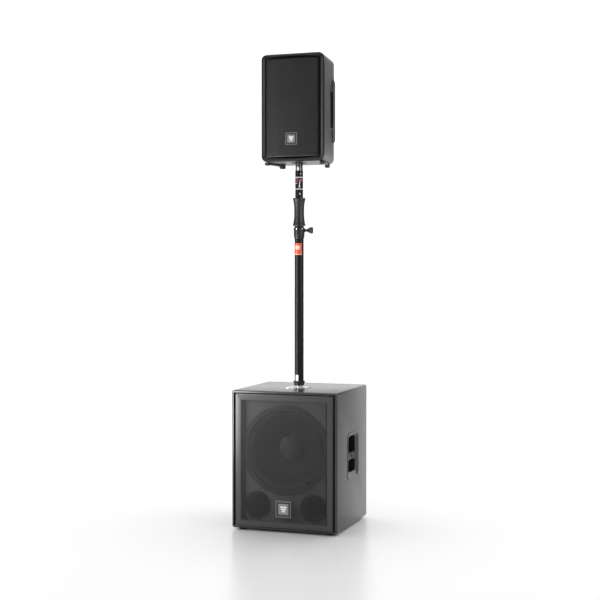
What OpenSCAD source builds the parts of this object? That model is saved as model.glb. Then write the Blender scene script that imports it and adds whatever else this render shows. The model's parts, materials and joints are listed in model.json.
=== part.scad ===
// Pole-mounted two-way speaker on a powered subwoofer.
// Millimetres. Origin: middle of the footprint, on the floor. +Z up, the grilles face -Y.

/* [Subwoofer cabinet] */
// Width over the side panels
sub_w = 479; // [470:1:500]
// Depth of the panels, without grille and amplifier flange
sub_d = 455; // [450:1:480]
// Height from the floor to the top panel
sub_h = 606; // [600:2:640]
// Plywood thickness
ply = 18; // [15:1:20]
// Height of the rubber feet
foot_h = 8; // [6:1:12]
// Width of the visible panel edge around the grille
lip = 10; // [8:1:12]
// How far the baffle sits behind the front edges
baffle_set = 24; // [22:1:26]

/* [Subwoofer driver and ports] */
// Height of the driver centre
sub_driver_z = 351; // [348:1:356]
// Outer diameter of the 15-inch driver frame
sub_driver_od = 390; // [380:1:392]
// Distance of each port from the middle
port_x = 127; // [125:1:135]
// Height of the ports
port_z = 108; // [104:1:110]
// Inner radius of the ports
port_r = 53; // [48:1:54]

/* [Pole] */
// Place of the pole axis along Y
pole_y = -24; // [-30:1:0]
// Outer diameter of the lower tube
lower_od = 40; // [40:0.5:42]
// Outer diameter of the upper tube
upper_od = 35; // [34:0.5:35]
// Height of the top end of the upper tube
upper_top = 1563; // [1560:1:1570]
// Distance from the pole axis to the tip of the wing knob
wing_reach = 65; // [60:1:75]

/* [Top speaker] */
// Width at the front
top_w = 286; // [280:1:292]
// Width at the back
top_back_w = 240; // [236:1:250]
// Height of the shells, without the foot rails
top_h = 467; // [464:1:475]
// Depth of the shells
top_d = 240; // [236:1:250]
// Height of the underside above the floor
top_z = 1597.5; // [1597:0.5:1600]
// Distance from the pole axis to the front plane
top_front = 102; // [98:1:106]
// Depth of the front shell
front_shell_d = 22; // [20:1:24]
// Outer diameter of the 8-inch driver frame
top_driver_od = 206; // [196:1:210]

/* [Hidden] */

$fn = 96;
hair = 0.02;          // overshoot of a cutting tool
sheet = 1.5;          // steel sheet of the grilles
proud = 2;            // flanges, badges and bezels that stand on a surface
inner_x = sub_w / 2 - ply;
front_y = -sub_d / 2;
back_y = sub_d / 2;
baffle_y = front_y + baffle_set;
sub_base = foot_h;

// Handles in the side panels: one cup with a bar across it
handle_y = 8;
handle_z = 319.5;
handle_w = 105;
handle_h = 157;
handle_deep = 55;
handle_wall = 3;
cup_w = handle_w + 2 * handle_wall;
cup_h = handle_h + 2 * handle_wall;
cup_gap = 0.5;
handle_rim = [172, 208];
handle_rim_z = 314;
dish = [150, 186];
dish_deep = 7;
bar_z = [293, 328];
bar_t = 22;

// Amplifier trays, one in each back
sub_tray = [290, 210];
sub_tray_z = 290;
top_tray = [176, 250];
top_tray_z = 1830;
tray_deep = 15;
tray_wall = 2;
tray_rim = 12;
tray_base_y = -tray_deep + tray_wall;  // outer face of the tray's floor, from the flange's back face
screw_r = 2;
screw_fit = 0.1;

// Places on the trays, as [x, z] from the tray's middle, seen from inside the cabinet
sub_jack_at = [[-110, 62], [-70, 62], [-30, 62], [10, 62]];
sub_knob_at = [-110, 8];
sub_button_at = [-70, 8];
sub_switch_at = [58, -62];
sub_inlet_at = [102, -62];
top_jack_at = [[-50, 78], [0, 78], [50, 78]];
top_knob_at = [[-50, 30], [0, 30]];
top_button_at = [50, 30];
top_switch_at = [-46, -92];
top_inlet_at = [30, -92];
jack_body = [26, 31];
inlet_body = [48, 28];
rocker = [13, 21];
rocker_tilt = 8;
knob_r = 9;
shaft_r = 3;
button_r = 4.5;

// Pole: heights of its parts
stud_r = 8.6;
stud_z = 566;
ring_z = [616, 628, 636];
ring_r = [22, 25.5];
lower_bore = lower_od / 2 - 2;
lower_top = 1290;
plug_top = 660;
collar_z = [1263, 1271, 1315];
collar_r = 24;
grip_z = [1321, 1443];
grip_r = [29.2, 22];
neck_r = 20;
guide_fit = 0.08;
knob_z = 1301;
label_z = [1191, 1246];
label_t = 0.3;
upper_foot = 800;
upper_r = upper_od / 2;
upper_bore = upper_r - 2.2;
gas_z = [662, 1144];
gas_r = [8, 10];
gas_end = 5;
rod_r = 4;
rod_z = [762, 1250];
anchor_h = 16;
spigot_neck_r = 16;
spigot_neck_top = 1604;
spigot_r = 17.4;
spigot_top = 1680;
cup_fit = 0.1;

// Top speaker
top_y = pole_y - top_front;
seam_y = top_y + front_shell_d;
top_end_y = top_y + top_d;
top_top = top_z + top_h;
shell_t = 4;
corner_r = 25;
bezel = 19;
top_taper = atan((top_w - top_back_w) / 2 / (top_d - front_shell_d));
top_driver_z = 1736;
horn_z = 1957;
horn_mouth = [206, 150];
horn_deep = 85;
horn_throat_r = 12.5;
top_grille_w = top_w - 2 * bezel - 3;
top_grille_h = top_h - 2 * bezel - 3;
top_grille_edge_y = top_y + 7;
top_grille_rise = 10;
grip_slot_z = [1756, 1919];
grip_bulge_z = [1690, 1982];
grip_slot_y = [33, 84];
grip_bulge_y = [84, 100];
grip_bulge = 7;
grip_lip = 5;
grip_deep = 32;
grip_wall = 3;
seam_rim = 14;
m10_r = 4.25;
m10_deep = 16;
m10_boss_r = 11;
m10_y = 30;

// ---------- shared shapes ----------

module ring(r_out, r_in, z0, z1) {
    translate([0, 0, z0]) difference() {
        cylinder(r = r_out, h = z1 - z0);
        translate([0, 0, -hair]) cylinder(r = r_in, h = z1 - z0 + 2 * hair);
    }
}

module at_pole() translate([0, pole_y, 0]) children();

module box(low, high) translate(low) cube(high - low);

module rounded_rect(w, h, r) {
    square([w - 2 * r, h], center = true);
    square([w, h - 2 * r], center = true);
    for (x = [-1, 1], y = [-1, 1]) translate([x * (w / 2 - r), y * (h / 2 - r)]) circle(r);
}

// Turns a shape drawn up +Z so that it runs into the cabinet, along +Y.
module into(y, z) translate([0, y, z]) rotate([-90, 0, 0]) children();

// ---------- a loudspeaker driver, drawn as a 15-inch one, front at z = 0, magnet towards +Z ----------

draw_od = 390;
frame_r = draw_od / 2;
hole_r = 178;
frame_lip = 8;
ledge_r = 175;
roll_r = 6;
roll_mid = 164;
cone_r = 157;
cone_z = 6;
cone_t = 1.6;
coil_r = 38;
neck_z = 92;
spider_z = 101;
spider_r = 88;
plate_z = 112;
magnet_r = 85;
magnet_h = 46;

module driver_frame() {
    spoke = 14;
    difference() {
        rotate_extrude() polygon([
            [ledge_r, -frame_lip], [frame_r, -frame_lip], [frame_r, 0], [hole_r - 1, 0],
            [hole_r - 1, 30], [spider_r + 6, 96], [spider_r + 6, plate_z], [magnet_r - 20, plate_z],
            [magnet_r - 20, plate_z - 4], [spider_r + 2, plate_z - 4], [spider_r + 2, 94],
            [hole_r - 5, 28], [ledge_r - 7, 11], [ledge_r - 7, cone_z], [ledge_r, cone_z]
        ]);
        for (a = [0:60:300]) rotate(a + 30)
            box([spider_r + 10, -30, 44], [hole_r, 30, 84]);
        for (a = [0:45:315]) rotate(a) translate([frame_r - spoke / 2, 0, -frame_lip - hair])
            cylinder(r = 3, h = frame_lip + 2 * hair);
    }
}

module driver_magnet() {
    gap_r = coil_r + 2.2;
    pole_r = coil_r - 1;
    back_t = 12;
    color("#4a4a4c") difference() {
        translate([0, 0, plate_z]) cylinder(r = magnet_r, h = magnet_h + back_t);
        translate([0, 0, plate_z - hair]) cylinder(r = gap_r, h = magnet_h);
    }
    color("#4a4a4c") translate([0, 0, plate_z]) cylinder(r = pole_r, h = magnet_h + back_t);
}

module driver_surround() {
    lip_t = 1;
    steps = 12;
    inner_r = roll_r - lip_t;
    arc = [for (i = [0:steps]) [cos(180 * i / steps), -sin(180 * i / steps)]];
    rotate_extrude() polygon(concat(
        [[ledge_r - 0.2, cone_z], [ledge_r - 0.2, cone_z - lip_t]],
        [for (i = [0:steps]) [roll_mid, cone_z - lip_t] + roll_r * arc[i]],
        [for (i = [steps:-1:0]) [roll_mid, cone_z] + inner_r * arc[i]]
    ));
}

module driver_cone() {
    depth = neck_z - cone_z;
    steps = 10;
    curve = [for (i = [0:steps]) let (t = i / steps)
        [cone_r + (coil_r + 1.4 - cone_r) * t, cone_z + depth * (t + 0.18 * sin(180 * t) * 0.8)]];
    rotate_extrude() polygon(concat(
        curve, [for (i = [steps:-1:0]) curve[i] + [0, cone_t]]
    ));
    ring(coil_r + 1.5, coil_r + 0.6, neck_z, plate_z + 16);
}

module driver_cap() {
    cap_r = 53;
    dome_r = 66;
    floor_z = cone_z + (neck_z - cone_z) * 0.93;
    rotate_extrude() polygon(concat(
        [for (i = [0:12]) let (a = asin(cap_r / dome_r) * i / 12)
            [dome_r * sin(a), floor_z - 26 + dome_r * (1 - cos(a))]],
        [for (i = [12:-1:0]) let (a = asin(cap_r / dome_r) * i / 12)
            [dome_r * sin(a), floor_z - 26 + cone_t + dome_r * (1 - cos(a))]]
    ));
}

module driver_spider() ring(spider_r + 2, coil_r + 2.4, spider_z, spider_z + 1.2);

// ---------- amplifier trays and what is mounted on them ----------
// Drawn with the flange's back face at y = 0, outwards along +Y, middle at the origin.

module tray_screws_at(size) {
    for (x = [-1, 0, 1], z = [-1, 1])
        translate([x * (size[0] / 2 + tray_rim / 2), 0, z * (size[1] / 2 + tray_rim / 2)])
            children();
    for (x = [-1, 1]) translate([x * (size[0] / 2 + tray_rim / 2), 0, 0]) children();
}

module screw(head_r = 4, head_h = 2.5, shank = 12) {
    rotate([-90, 0, 0]) {
        translate([0, 0, proud]) cylinder(r = head_r, h = head_h);
        translate([0, 0, proud - shank]) cylinder(r = screw_r, h = shank);
    }
}

module screw_hole(depth = 20) rotate([-90, 0, 0]) translate([0, 0, -depth / 2])
    cylinder(r = screw_r + screw_fit, h = depth);

module tray(size) {
    w = size[0];
    h = size[1];
    difference() {
        union() {
            box([-w / 2 - tray_rim, 0, -h / 2 - tray_rim], [w / 2 + tray_rim, proud, h / 2 + tray_rim]);
            box([-w / 2, -tray_deep, -h / 2], [w / 2, hair, h / 2]);
        }
        box([-w / 2 + tray_wall, tray_base_y, -h / 2 + tray_wall],
            [w / 2 - tray_wall, proud + 1, h / 2 - tray_wall]);
        tray_screws_at(size) screw_hole();
    }
}

module on_tray(at) translate([at[0], tray_base_y, at[1]]) children();

module window(size, gap) box([-size[0] / 2 - gap, -tray_deep, -size[1] / 2 - gap],
    [size[0] / 2 + gap, tray_deep, size[1] / 2 + gap]);

module jack() {
    cavity_r = 10.5;
    back = 26;
    difference() {
        union() {
            box([-jack_body[0] / 2, -back, -jack_body[1] / 2],
                [jack_body[0] / 2, -tray_wall, jack_body[1] / 2]);
            rotate([-90, 0, 0]) translate([0, 0, -tray_wall - hair]) cylinder(r = 12, h = tray_wall + 1.5);
        }
        rotate([-90, 0, 0]) translate([0, 0, -back + 4]) cylinder(r = cavity_r, h = back + 4);
    }
    rotate([-90, 0, 0]) for (a = [0, 120, 240]) rotate(a)
        translate([5, 0, -back + 3.9]) cylinder(r = 1.2, h = 14);
}

module jack_hole() rotate([-90, 0, 0]) translate([0, 0, -tray_wall - 1])
    cylinder(r = 12.1, h = tray_wall + 2);

module inlet() {
    depth = 24;
    blade = [2, 6];
    difference() {
        union() {
            box([-inlet_body[0] / 2, 0, -inlet_body[1] / 2], [inlet_body[0] / 2, 2.5, inlet_body[1] / 2]);
            box([-15, -depth, -11.5], [15, hair, 11.5]);
        }
        box([-13, -depth + 3, -9.5], [13, 5, 9.5]);
    }
    for (x = [-1, 0, 1]) translate([x * 7 - blade[0] / 2, -depth + 2.9, (x == 0 ? 2 : -2) - blade[1] / 2])
        cube([blade[0], 17, blade[1]]);
}

module inlet_hole() box([-15.2, -tray_wall - 1, -11.7], [15.2, 1, 11.7]);

module knob() {
    rotate([-90, 0, 0]) {
        difference() {
            translate([0, 0, 1]) cylinder(r = knob_r, h = 11.5);
            translate([0, knob_r - 1, 11]) rotate(0) cube([1.2, 6, 4], center = true);
        }
        translate([0, 0, -8]) cylinder(r = shaft_r, h = 10);
    }
}

module knob_hole() rotate([-90, 0, 0]) translate([0, 0, -tray_wall - 1])
    cylinder(r = shaft_r + 0.3, h = tray_wall + 2);

module button() rotate([-90, 0, 0]) translate([0, 0, -6]) cylinder(r = button_r, h = 10);

module button_hole() rotate([-90, 0, 0]) translate([0, 0, -tray_wall - 1])
    cylinder(r = button_r + 0.3, h = tray_wall + 2);

// A rocker seen along its hinge: two flats that meet at a shallow angle over the pivot, tilted to off.
module rocker_cap() rotate([-rocker_tilt, 0, 0]) rotate([90, 0, 90]) {
    linear_extrude(height = rocker[0] - 1.4, center = true)
        polygon([[-6, -4], [-2, -9.2], [4.6, -9.6], [2.4, 0], [4.6, 9.6], [-2, 9.2], [-6, 4]]);
    cylinder(r = 1.6, h = rocker[0] - 0.4, center = true);
}

module rocker_hole() box([-rocker[0] / 2, -tray_wall - 1, -rocker[1] / 2], [rocker[0] / 2, 1, rocker[1] / 2]);

module at_sub_tray() translate([0, back_y, sub_tray_z]) children();
module at_top_tray() translate([0, top_end_y, top_tray_z]) children();

// ---------- subwoofer ----------

module sub_side_right() color("#2b2c2e") difference() {
    box([inner_x, front_y, sub_base], [sub_w / 2, back_y, sub_h]);
    box([inner_x - 1, front_y - 1, sub_base + lip], [sub_w / 2 - lip, baffle_y, sub_h - lip]);
    translate([0, handle_y, handle_rim_z]) box(
        [inner_x - 1, -dish[0] / 2 - handle_wall - cup_gap, -dish[1] / 2 - handle_wall - cup_gap],
        [sub_w / 2 + 1, dish[0] / 2 + handle_wall + cup_gap, dish[1] / 2 + handle_wall + cup_gap]);
}

module sub_side_left() mirror([1, 0, 0]) sub_side_right();

module sub_top_panel() color("#2b2c2e") difference() {
    box([-inner_x, front_y, sub_h - ply], [inner_x, back_y, sub_h]);
    box([-inner_x - 1, front_y - 1, sub_h - ply - 1], [inner_x + 1, baffle_y, sub_h - lip]);
    at_pole() translate([0, 0, sub_h - ply - 1]) cylinder(r = 25.2, h = ply + 2);
    socket_screws_at() translate([0, 0, -15]) cylinder(r = screw_r + screw_fit, h = 20);
}

module sub_bottom_panel() color("#2b2c2e") difference() {
    box([-inner_x, front_y, sub_base], [inner_x, back_y, sub_base + ply]);
    box([-inner_x - 1, front_y - 1, sub_base + lip], [inner_x + 1, baffle_y, sub_base + ply + 1]);
}

module sub_back_panel() color("#2b2c2e") difference() {
    box([-inner_x, back_y - ply, sub_base + ply], [inner_x, back_y, sub_h - ply]);
    at_sub_tray() box([-sub_tray[0] / 2 - 0.5, -ply - 1, -sub_tray[1] / 2 - 0.5],
        [sub_tray[0] / 2 + 0.5, 1, sub_tray[1] / 2 + 0.5]);
    at_sub_tray() tray_screws_at(sub_tray) screw_hole(26);
}

module sub_baffle() color("#1d1e20") difference() {
    box([-inner_x, baffle_y, sub_base + ply], [inner_x, baffle_y + ply, sub_h - ply]);
    into(baffle_y - 1, sub_driver_z) cylinder(r = (hole_r - 0.5) * sub_driver_od / draw_od, h = ply + 2);
    for (s = [-1, 1]) translate([s * port_x, 0, 0])
        into(baffle_y - 1, port_z) cylinder(r = port_r + 3.6, h = ply + 2);
}

module sub_grille() color("#3a3b3d") {
    gap = 8;
    half = sub_w / 2 - lip - gap;
    low = sub_base + lip + 0.5;
    high = sub_h - lip - 3;
    difference() {
        box([-half, front_y - proud - 0.5, low], [half, baffle_y - 0.5, high]);
        box([-half + sheet, front_y - proud - 0.5 + sheet, low + sheet],
            [half - sheet, baffle_y, high - sheet]);
    }
}

module badge(size, front) {
    rim = size * 0.06;
    difference() {
        translate([0, 0, -hair]) linear_extrude(height = proud + hair) rounded_rect(size, size, 3);
        translate([0, 0, 0.8]) linear_extrude(height = proud)
            rounded_rect(size - 2 * rim, size - 2 * rim, 2);
    }
    linear_extrude(height = front) rounded_rect(size * 0.68, size * 0.68, 2);
}

module sub_badge() color("#9a9c9f")
    translate([0, front_y - proud - 0.5 - hair, 102]) rotate([90, 0, 0]) badge(70, 1.8);

// A dished plate with a deep cup in it and a grip bar across the cup.
module sub_handle_right() color("#1b1c1e") {
    x_out = sub_w / 2;
    x_cup = x_out - dish_deep;
    translate([0, handle_y, 0]) {
        difference() {
            union() {
                translate([x_out, 0, handle_rim_z]) rotate([90, 0, 90])
                    linear_extrude(height = proud - 0.5) rounded_rect(handle_rim[0], handle_rim[1], 16);
                translate([0, 0, handle_rim_z]) box(
                    [x_cup - handle_wall, -dish[0] / 2 - handle_wall, -dish[1] / 2 - handle_wall],
                    [x_out + hair, dish[0] / 2 + handle_wall, dish[1] / 2 + handle_wall]);
                box([x_out - handle_deep - handle_wall, -cup_w / 2, handle_z - cup_h / 2],
                    [x_cup, cup_w / 2, handle_z + cup_h / 2]);
            }
            hull() {
                translate([x_out + proud, 0, handle_rim_z])
                    box([0, -dish[0] / 2, -dish[1] / 2], [1, dish[0] / 2, dish[1] / 2]);
                box([x_cup, -handle_w / 2, handle_z - handle_h / 2],
                    [x_cup + hair, handle_w / 2, handle_z + handle_h / 2]);
            }
            box([x_out - handle_deep, -handle_w / 2, handle_z - handle_h / 2],
                [x_cup + hair, handle_w / 2, handle_z + handle_h / 2]);
        }
        difference() {
            box([x_cup - bar_t, -handle_w / 2 - 0.5, bar_z[0]], [x_cup, handle_w / 2 + 0.5, bar_z[1]]);
            translate([x_cup + hair, 0, (bar_z[0] + bar_z[1]) / 2]) rotate([0, -90, 0])
                cylinder(r = 6, h = 8);
        }
    }
}

module sub_handle_left() mirror([1, 0, 0]) sub_handle_right();

module socket_screws_at() at_pole() for (x = [-1, 1], y = [-1, 1])
    translate([x * 39, y * 39, sub_h]) children();

module sub_pole_socket() color("#6c6e72") difference() {
    at_pole() union() {
        translate([0, 0, sub_h]) linear_extrude(height = 2.5) rounded_rect(98, 98, 8);
        translate([0, 0, sub_h - 48]) cylinder(r = 25, h = 48 + hair);
    }
    at_pole() translate([0, 0, sub_h - 46]) cylinder(r = stud_r + 0.05, h = 60);
    socket_screws_at() translate([0, 0, -5]) cylinder(r = screw_r + screw_fit, h = 10);
}

module sub_feet() color("#151515") for (x = [-1, 1], y = [-1, 1])
    translate([x * 200, y * 188, 0]) cylinder(r1 = 19, r2 = 21, h = foot_h);

sub_scale = sub_driver_od / draw_od;
module at_sub_driver() into(baffle_y, sub_driver_z) scale(sub_scale) children();

module sub_driver_frame() color("#202124") at_sub_driver() driver_frame();
module sub_driver_magnet() at_sub_driver() driver_magnet();
module sub_surround() color("#18181a") at_sub_driver() driver_surround();
module sub_spider() color("#b5a26a") at_sub_driver() driver_spider();
module sub_cone() color("#1f1f21") at_sub_driver() driver_cone();
module sub_dust_cap() color("#19191b") at_sub_driver() driver_cap();

module sub_ports() color("#1a1b1d") for (s = [-1, 1]) translate([s * port_x, 0, 0])
    into(baffle_y, port_z) {
        ring(port_r + 3, port_r, -hair, 150);
        ring(port_r + 9, port_r, -2, 0);
    }

module sub_amp_plate() color("#232427") difference() {
    at_sub_tray() tray(sub_tray);
    at_sub_tray() {
        for (p = sub_jack_at) on_tray(p) jack_hole();
        on_tray(sub_knob_at) knob_hole();
        on_tray(sub_button_at) button_hole();
        on_tray(sub_switch_at) rocker_hole();
        on_tray(sub_inlet_at) inlet_hole();
    }
}

module sub_amp_module() color("#2e5a3a") at_sub_tray() {
    box([-120, -60, -80], [120, -58, 80]);
    box([20, -58 - hair, -10], [100, -45, 60]);
    for (i = [0:9]) box([-110 + i * 9, -100, -70], [-107 + i * 9, -60 + hair, 20]);
}

module sub_jacks() color("#141416") at_sub_tray() for (p = sub_jack_at) on_tray(p) jack();
module sub_mains_inlet() color("#141416") at_sub_tray() on_tray(sub_inlet_at) inlet();
module sub_level_knob() color("#111113") at_sub_tray() on_tray(sub_knob_at) knob();
module sub_polarity_button() color("#c9cacc") at_sub_tray() on_tray(sub_button_at) button();
module sub_power_switch() color("#111113") at_sub_tray() on_tray(sub_switch_at) rocker_cap();

module sub_screws() color("#55575a") {
    at_sub_tray() tray_screws_at(sub_tray) screw();
    socket_screws_at() rotate([90, 0, 0]) translate([0, 0.5, 0]) screw();
}

// ---------- pole ----------

module pole_thread_stud() color("#8d9094") at_pole() {
    translate([0, 0, stud_z]) cylinder(r = stud_r, h = sub_h + 3 - stud_z);
    translate([0, 0, sub_h + 2.6]) cylinder(r = 15, h = ring_z[0] - sub_h - 2.6 + hair);
    translate([0, 0, ring_z[0]]) cylinder(r = lower_bore - 0.1, h = plug_top - ring_z[0]);
}

module pole_lock_ring() color("#1c1c1e") at_pole() difference() {
    union() {
        translate([0, 0, ring_z[0]]) cylinder(r = ring_r[0], h = ring_z[1] - ring_z[0] + hair);
        translate([0, 0, ring_z[1]]) cylinder(r = ring_r[1], h = ring_z[2] - ring_z[1]);
    }
    translate([0, 0, ring_z[0] - 1]) cylinder(r = lower_bore, h = 30);
}

module pole_lower_tube() color("#1a1a1c") at_pole() ring(lower_od / 2, lower_bore, ring_z[2], lower_top);

module pole_clamp_collar() color("#202022") difference() {
    at_pole() {
        rotate_extrude() polygon([
            [lower_od / 2 + 0.05, collar_z[0]], [lower_od / 2 + 1, collar_z[0]],
            [collar_r - 1.4, collar_z[1]], [collar_r, collar_z[1] + 16],
            [collar_r, collar_z[2] - 2], [collar_r - 2, collar_z[2]],
            [neck_r, collar_z[2]], [neck_r, grip_z[1] - 3], [upper_r + guide_fit, grip_z[1] - 3],
            [upper_r + guide_fit, lower_top + 0.1], [lower_od / 2 + 0.05, lower_top + 0.1]
        ]);
        difference() {
            translate([0, 0, knob_z]) rotate([0, 90, 0]) cylinder(r = 8, h = 29);
            translate([0, 0, knob_z - 20]) cylinder(r = collar_r - 2, h = 40);
        }
    }
    at_pole() translate([upper_r - 2, 0, knob_z]) rotate([0, 90, 0]) cylinder(r = 3.1, h = 20);
}

module pole_wing_knob() color("#161618") at_pole() translate([0, 0, knob_z]) {
    stem_end = 42;
    rotate([0, 90, 0]) {
        translate([0, 0, upper_r + 0.4]) cylinder(r = 3, h = stem_end - upper_r);
        translate([0, 0, 30]) cylinder(r = 5.5, h = 12);
    }
    rotate([90, 0, 0]) linear_extrude(height = 8, center = true)
        polygon([[36, -4], [wing_reach - 17, -13], [wing_reach - 2, -15], [wing_reach, -12],
            [wing_reach - 4, 0], [wing_reach, 12], [wing_reach - 2, 15], [wing_reach - 17, 10], [36, 4]]);
}

module pole_hand_grip() color("#262628") at_pole() {
    steps = 16;
    middle = (grip_z[0] + grip_z[1]) / 2;
    half = (grip_z[1] - grip_z[0]) / 2;
    rotate_extrude() polygon(concat(
        [[neck_r + 0.02, grip_z[0]]],
        [for (i = [0:steps]) let (t = 2 * i / steps - 1)
            [grip_r[1] + (grip_r[0] - grip_r[1]) * pow(abs(t), 2.2), middle + half * t]],
        [[neck_r + 0.02, grip_z[1]]]
    ));
}

module pole_label() color("#e8532f") at_pole()
    ring(lower_od / 2 + label_t, lower_od / 2 + 0.02, label_z[0], label_z[1]);

module pole_gas_cylinder() color("#3a3a3c") at_pole() {
    ring(gas_r[1], gas_r[0], gas_z[0], gas_z[1]);
    translate([0, 0, gas_z[0]]) cylinder(r = gas_r[1] - 1, h = gas_end);
    ring(gas_r[0] + 0.5, rod_r + 0.1, gas_z[1] - 8, gas_z[1]);
}

module pole_upper_tube() color("#1b1b1d") at_pole() ring(upper_r, upper_bore, upper_foot, upper_top);

module pole_guide_bush() color("#d9d9d4") at_pole() {
    ring(lower_bore - guide_fit, upper_r, upper_foot - hair, upper_foot + 40);
    ring(lower_bore - guide_fit, gas_r[1] + 2, upper_foot - 10, upper_foot);
}

module pole_gas_rod() color("#b9bcc0") at_pole() {
    translate([0, 0, rod_z[0]]) cylinder(r = gas_r[0] - 0.1, h = 10);
    translate([0, 0, rod_z[0]]) cylinder(r = rod_r, h = rod_z[1] - rod_z[0] + 1);
    translate([0, 0, rod_z[1]]) cylinder(r = upper_bore - 0.05, h = anchor_h);
}

module pole_spigot() color("#77797c") at_pole() {
    translate([0, 0, upper_top - 33]) cylinder(r = upper_bore - 0.05, h = 33 + hair);
    translate([0, 0, upper_top]) cylinder(r = spigot_neck_r, h = spigot_neck_top - upper_top + hair);
    translate([0, 0, spigot_neck_top]) cylinder(r = spigot_r, h = spigot_top - 3 - spigot_neck_top);
    translate([0, 0, spigot_top - 3 - hair]) cylinder(r1 = spigot_r, r2 = spigot_r - 2, h = 3 + hair);
}

// ---------- top speaker ----------

// Plan of the shells, inset by a wall thickness, between two places along Y.
module shell_plan(inset) {
    front = top_w / 2 - inset;
    back = top_back_w / 2 - inset;
    chamfer = corner_r * 0.6;
    polygon([
        [-front, seam_y], [-back - chamfer * 0.1, top_end_y - inset - chamfer],
        [-back + chamfer, top_end_y - inset], [back - chamfer, top_end_y - inset],
        [back + chamfer * 0.1, top_end_y - inset - chamfer], [front, seam_y]
    ]);
}

module shell_solid(inset) intersection() {
    translate([0, 0, top_z + inset]) linear_extrude(height = top_h - 2 * inset) shell_plan(inset);
    translate([0, top_end_y + 1, top_z + top_h / 2]) rotate([90, 0, 0]) linear_extrude(height = top_d + 2)
        rounded_rect(top_w - 2 * inset, top_h - 2 * inset, corner_r - inset);
}

module at_driver_hole() into(seam_y - 6, top_driver_z) scale(top_driver_od / draw_od) children();

module top_front_shell() color("#2a2b2e") {
    difference() {
        translate([0, seam_y, top_z + top_h / 2]) rotate([90, 0, 0])
            linear_extrude(height = front_shell_d) rounded_rect(top_w, top_h, corner_r);
        translate([0, seam_y - 6, top_z + top_h / 2]) rotate([90, 0, 0])
            linear_extrude(height = front_shell_d) rounded_rect(top_w - 2 * bezel, top_h - 2 * bezel, 10);
        at_driver_hole() translate([0, 0, -1]) cylinder(r = hole_r - 0.5, h = 40);
        box([-horn_mouth[0] / 2 + 8, seam_y - 7, horn_z - horn_mouth[1] / 2 + 8],
            [horn_mouth[0] / 2 - 8, seam_y + 1, horn_z + horn_mouth[1] / 2 - 8]);
    }
}

module at_side(s) mirror([s < 0 ? 1 : 0, 0, 0])
    translate([top_w / 2, seam_y, 0]) rotate([0, 0, top_taper]) translate([0, -seam_y, 0]) children();

// The finger slot of a side grip between two depths, grown by a margin.
module grip_box(x0, x1, grow) box([x0, grip_slot_y[0] - grow, grip_slot_z[0] - grow],
    [x1, grip_slot_y[1] + grow, grip_slot_z[1] + grow]);

module top_rear_shell() color("#2d2e31") difference() {
    union() {
        difference() {
            shell_solid(0);
            intersection() {
                shell_solid(shell_t);
                box([-top_w, seam_y + shell_t, top_z], [top_w, top_end_y, top_top]);
            }
            box([-top_w / 2 + seam_rim, seam_y - 1, top_z + seam_rim],
                [top_w / 2 - seam_rim, seam_y + shell_t + 1, top_top - seam_rim]);
        }
        translate([0, m10_y, top_top - shell_t - m10_deep - 4]) cylinder(r = m10_boss_r, h = m10_deep + 5);
        for (s = [-1, 1]) translate([s * 80, m10_y, top_z + 1]) cylinder(r = m10_boss_r, h = m10_deep + 5);
    }
    translate([0, m10_y, top_top - m10_deep]) cylinder(r = m10_r, h = m10_deep + 1);
    for (s = [-1, 1]) translate([s * 80, m10_y, top_z - 1]) cylinder(r = m10_r, h = m10_deep + 1);
    at_pole() translate([0, 0, top_z - 1]) cylinder(r = 22.2, h = 20);
    at_top_tray() box([-top_tray[0] / 2 - 0.5, -tray_deep - 3, -top_tray[1] / 2 - 0.5],
        [top_tray[0] / 2 + 0.5, 1, top_tray[1] / 2 + 0.5]);
    at_top_tray() tray_screws_at(top_tray) screw_hole();
    for (s = [-1, 1]) at_side(s)
        grip_box(-shell_t - 6, 3, grip_wall + 0.5);
}

module top_grille() color("#242527") {
    steps = 24;
    half = top_grille_w / 2;
    arc_r = (half * half + top_grille_rise * top_grille_rise) / (2 * top_grille_rise);
    sweep = asin(half / arc_r);
    front = [for (i = [0:steps]) let (a = sweep * (2 * i / steps - 1))
        [arc_r * sin(a), top_grille_edge_y - top_grille_rise + arc_r * (1 - cos(a))]];
    intersection() {
        translate([0, 0, top_z + (top_h - top_grille_h) / 2]) linear_extrude(height = top_grille_h)
            polygon(concat(front, [for (i = [steps:-1:0]) front[i] + [0, sheet]]));
        translate([0, seam_y, top_z + top_h / 2]) rotate([90, 0, 0])
            linear_extrude(height = front_shell_d + 20) rounded_rect(top_grille_w + 1, top_grille_h + 1, 9.5);
    }
}

module top_badge() color("#9a9c9f")
    translate([0, top_grille_edge_y - top_grille_rise - hair, 1695]) rotate([90, 0, 0]) badge(53, 1.8);

module top_handles() color("#202124") for (s = [-1, 1]) at_side(s) difference() {
    union() {
        box([0.05, grip_bulge_y[0], grip_bulge_z[0]], [grip_bulge, grip_bulge_y[1], grip_bulge_z[1]]);
        grip_box(0.05, 1.2, grip_lip);
        grip_box(-grip_deep, 0.1, grip_wall);
    }
    grip_box(-grip_deep + grip_wall, grip_bulge + 1, 0);
}

module top_pole_cup() color("#1e1e20") at_pole() difference() {
    union() {
        translate([0, 0, top_z - 2]) cylinder(r = 34, h = 2);
        translate([0, 0, top_z - hair]) cylinder(r = 22, h = spigot_top + 6 - top_z);
    }
    translate([0, 0, top_z - 3]) cylinder(r = spigot_r + cup_fit, h = spigot_top + 0.2 - top_z + 3);
}

module top_foot_rails() color("#141414") for (s = [-1, 1]) {
    start = [s * 128, top_y + 30];
    end = [s * 103, top_y + 195];
    run = end - start;
    length = norm(run);
    translate([start[0], start[1], 0]) rotate(atan2(run[1], run[0])) {
        box([0, -7, top_z - 9], [length, 7, top_z]);
        box([0, -10, top_z - 12], [24, 10, top_z]);
        box([length - 32, -10, top_z - 17], [length, 10, top_z]);
    }
}

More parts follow.
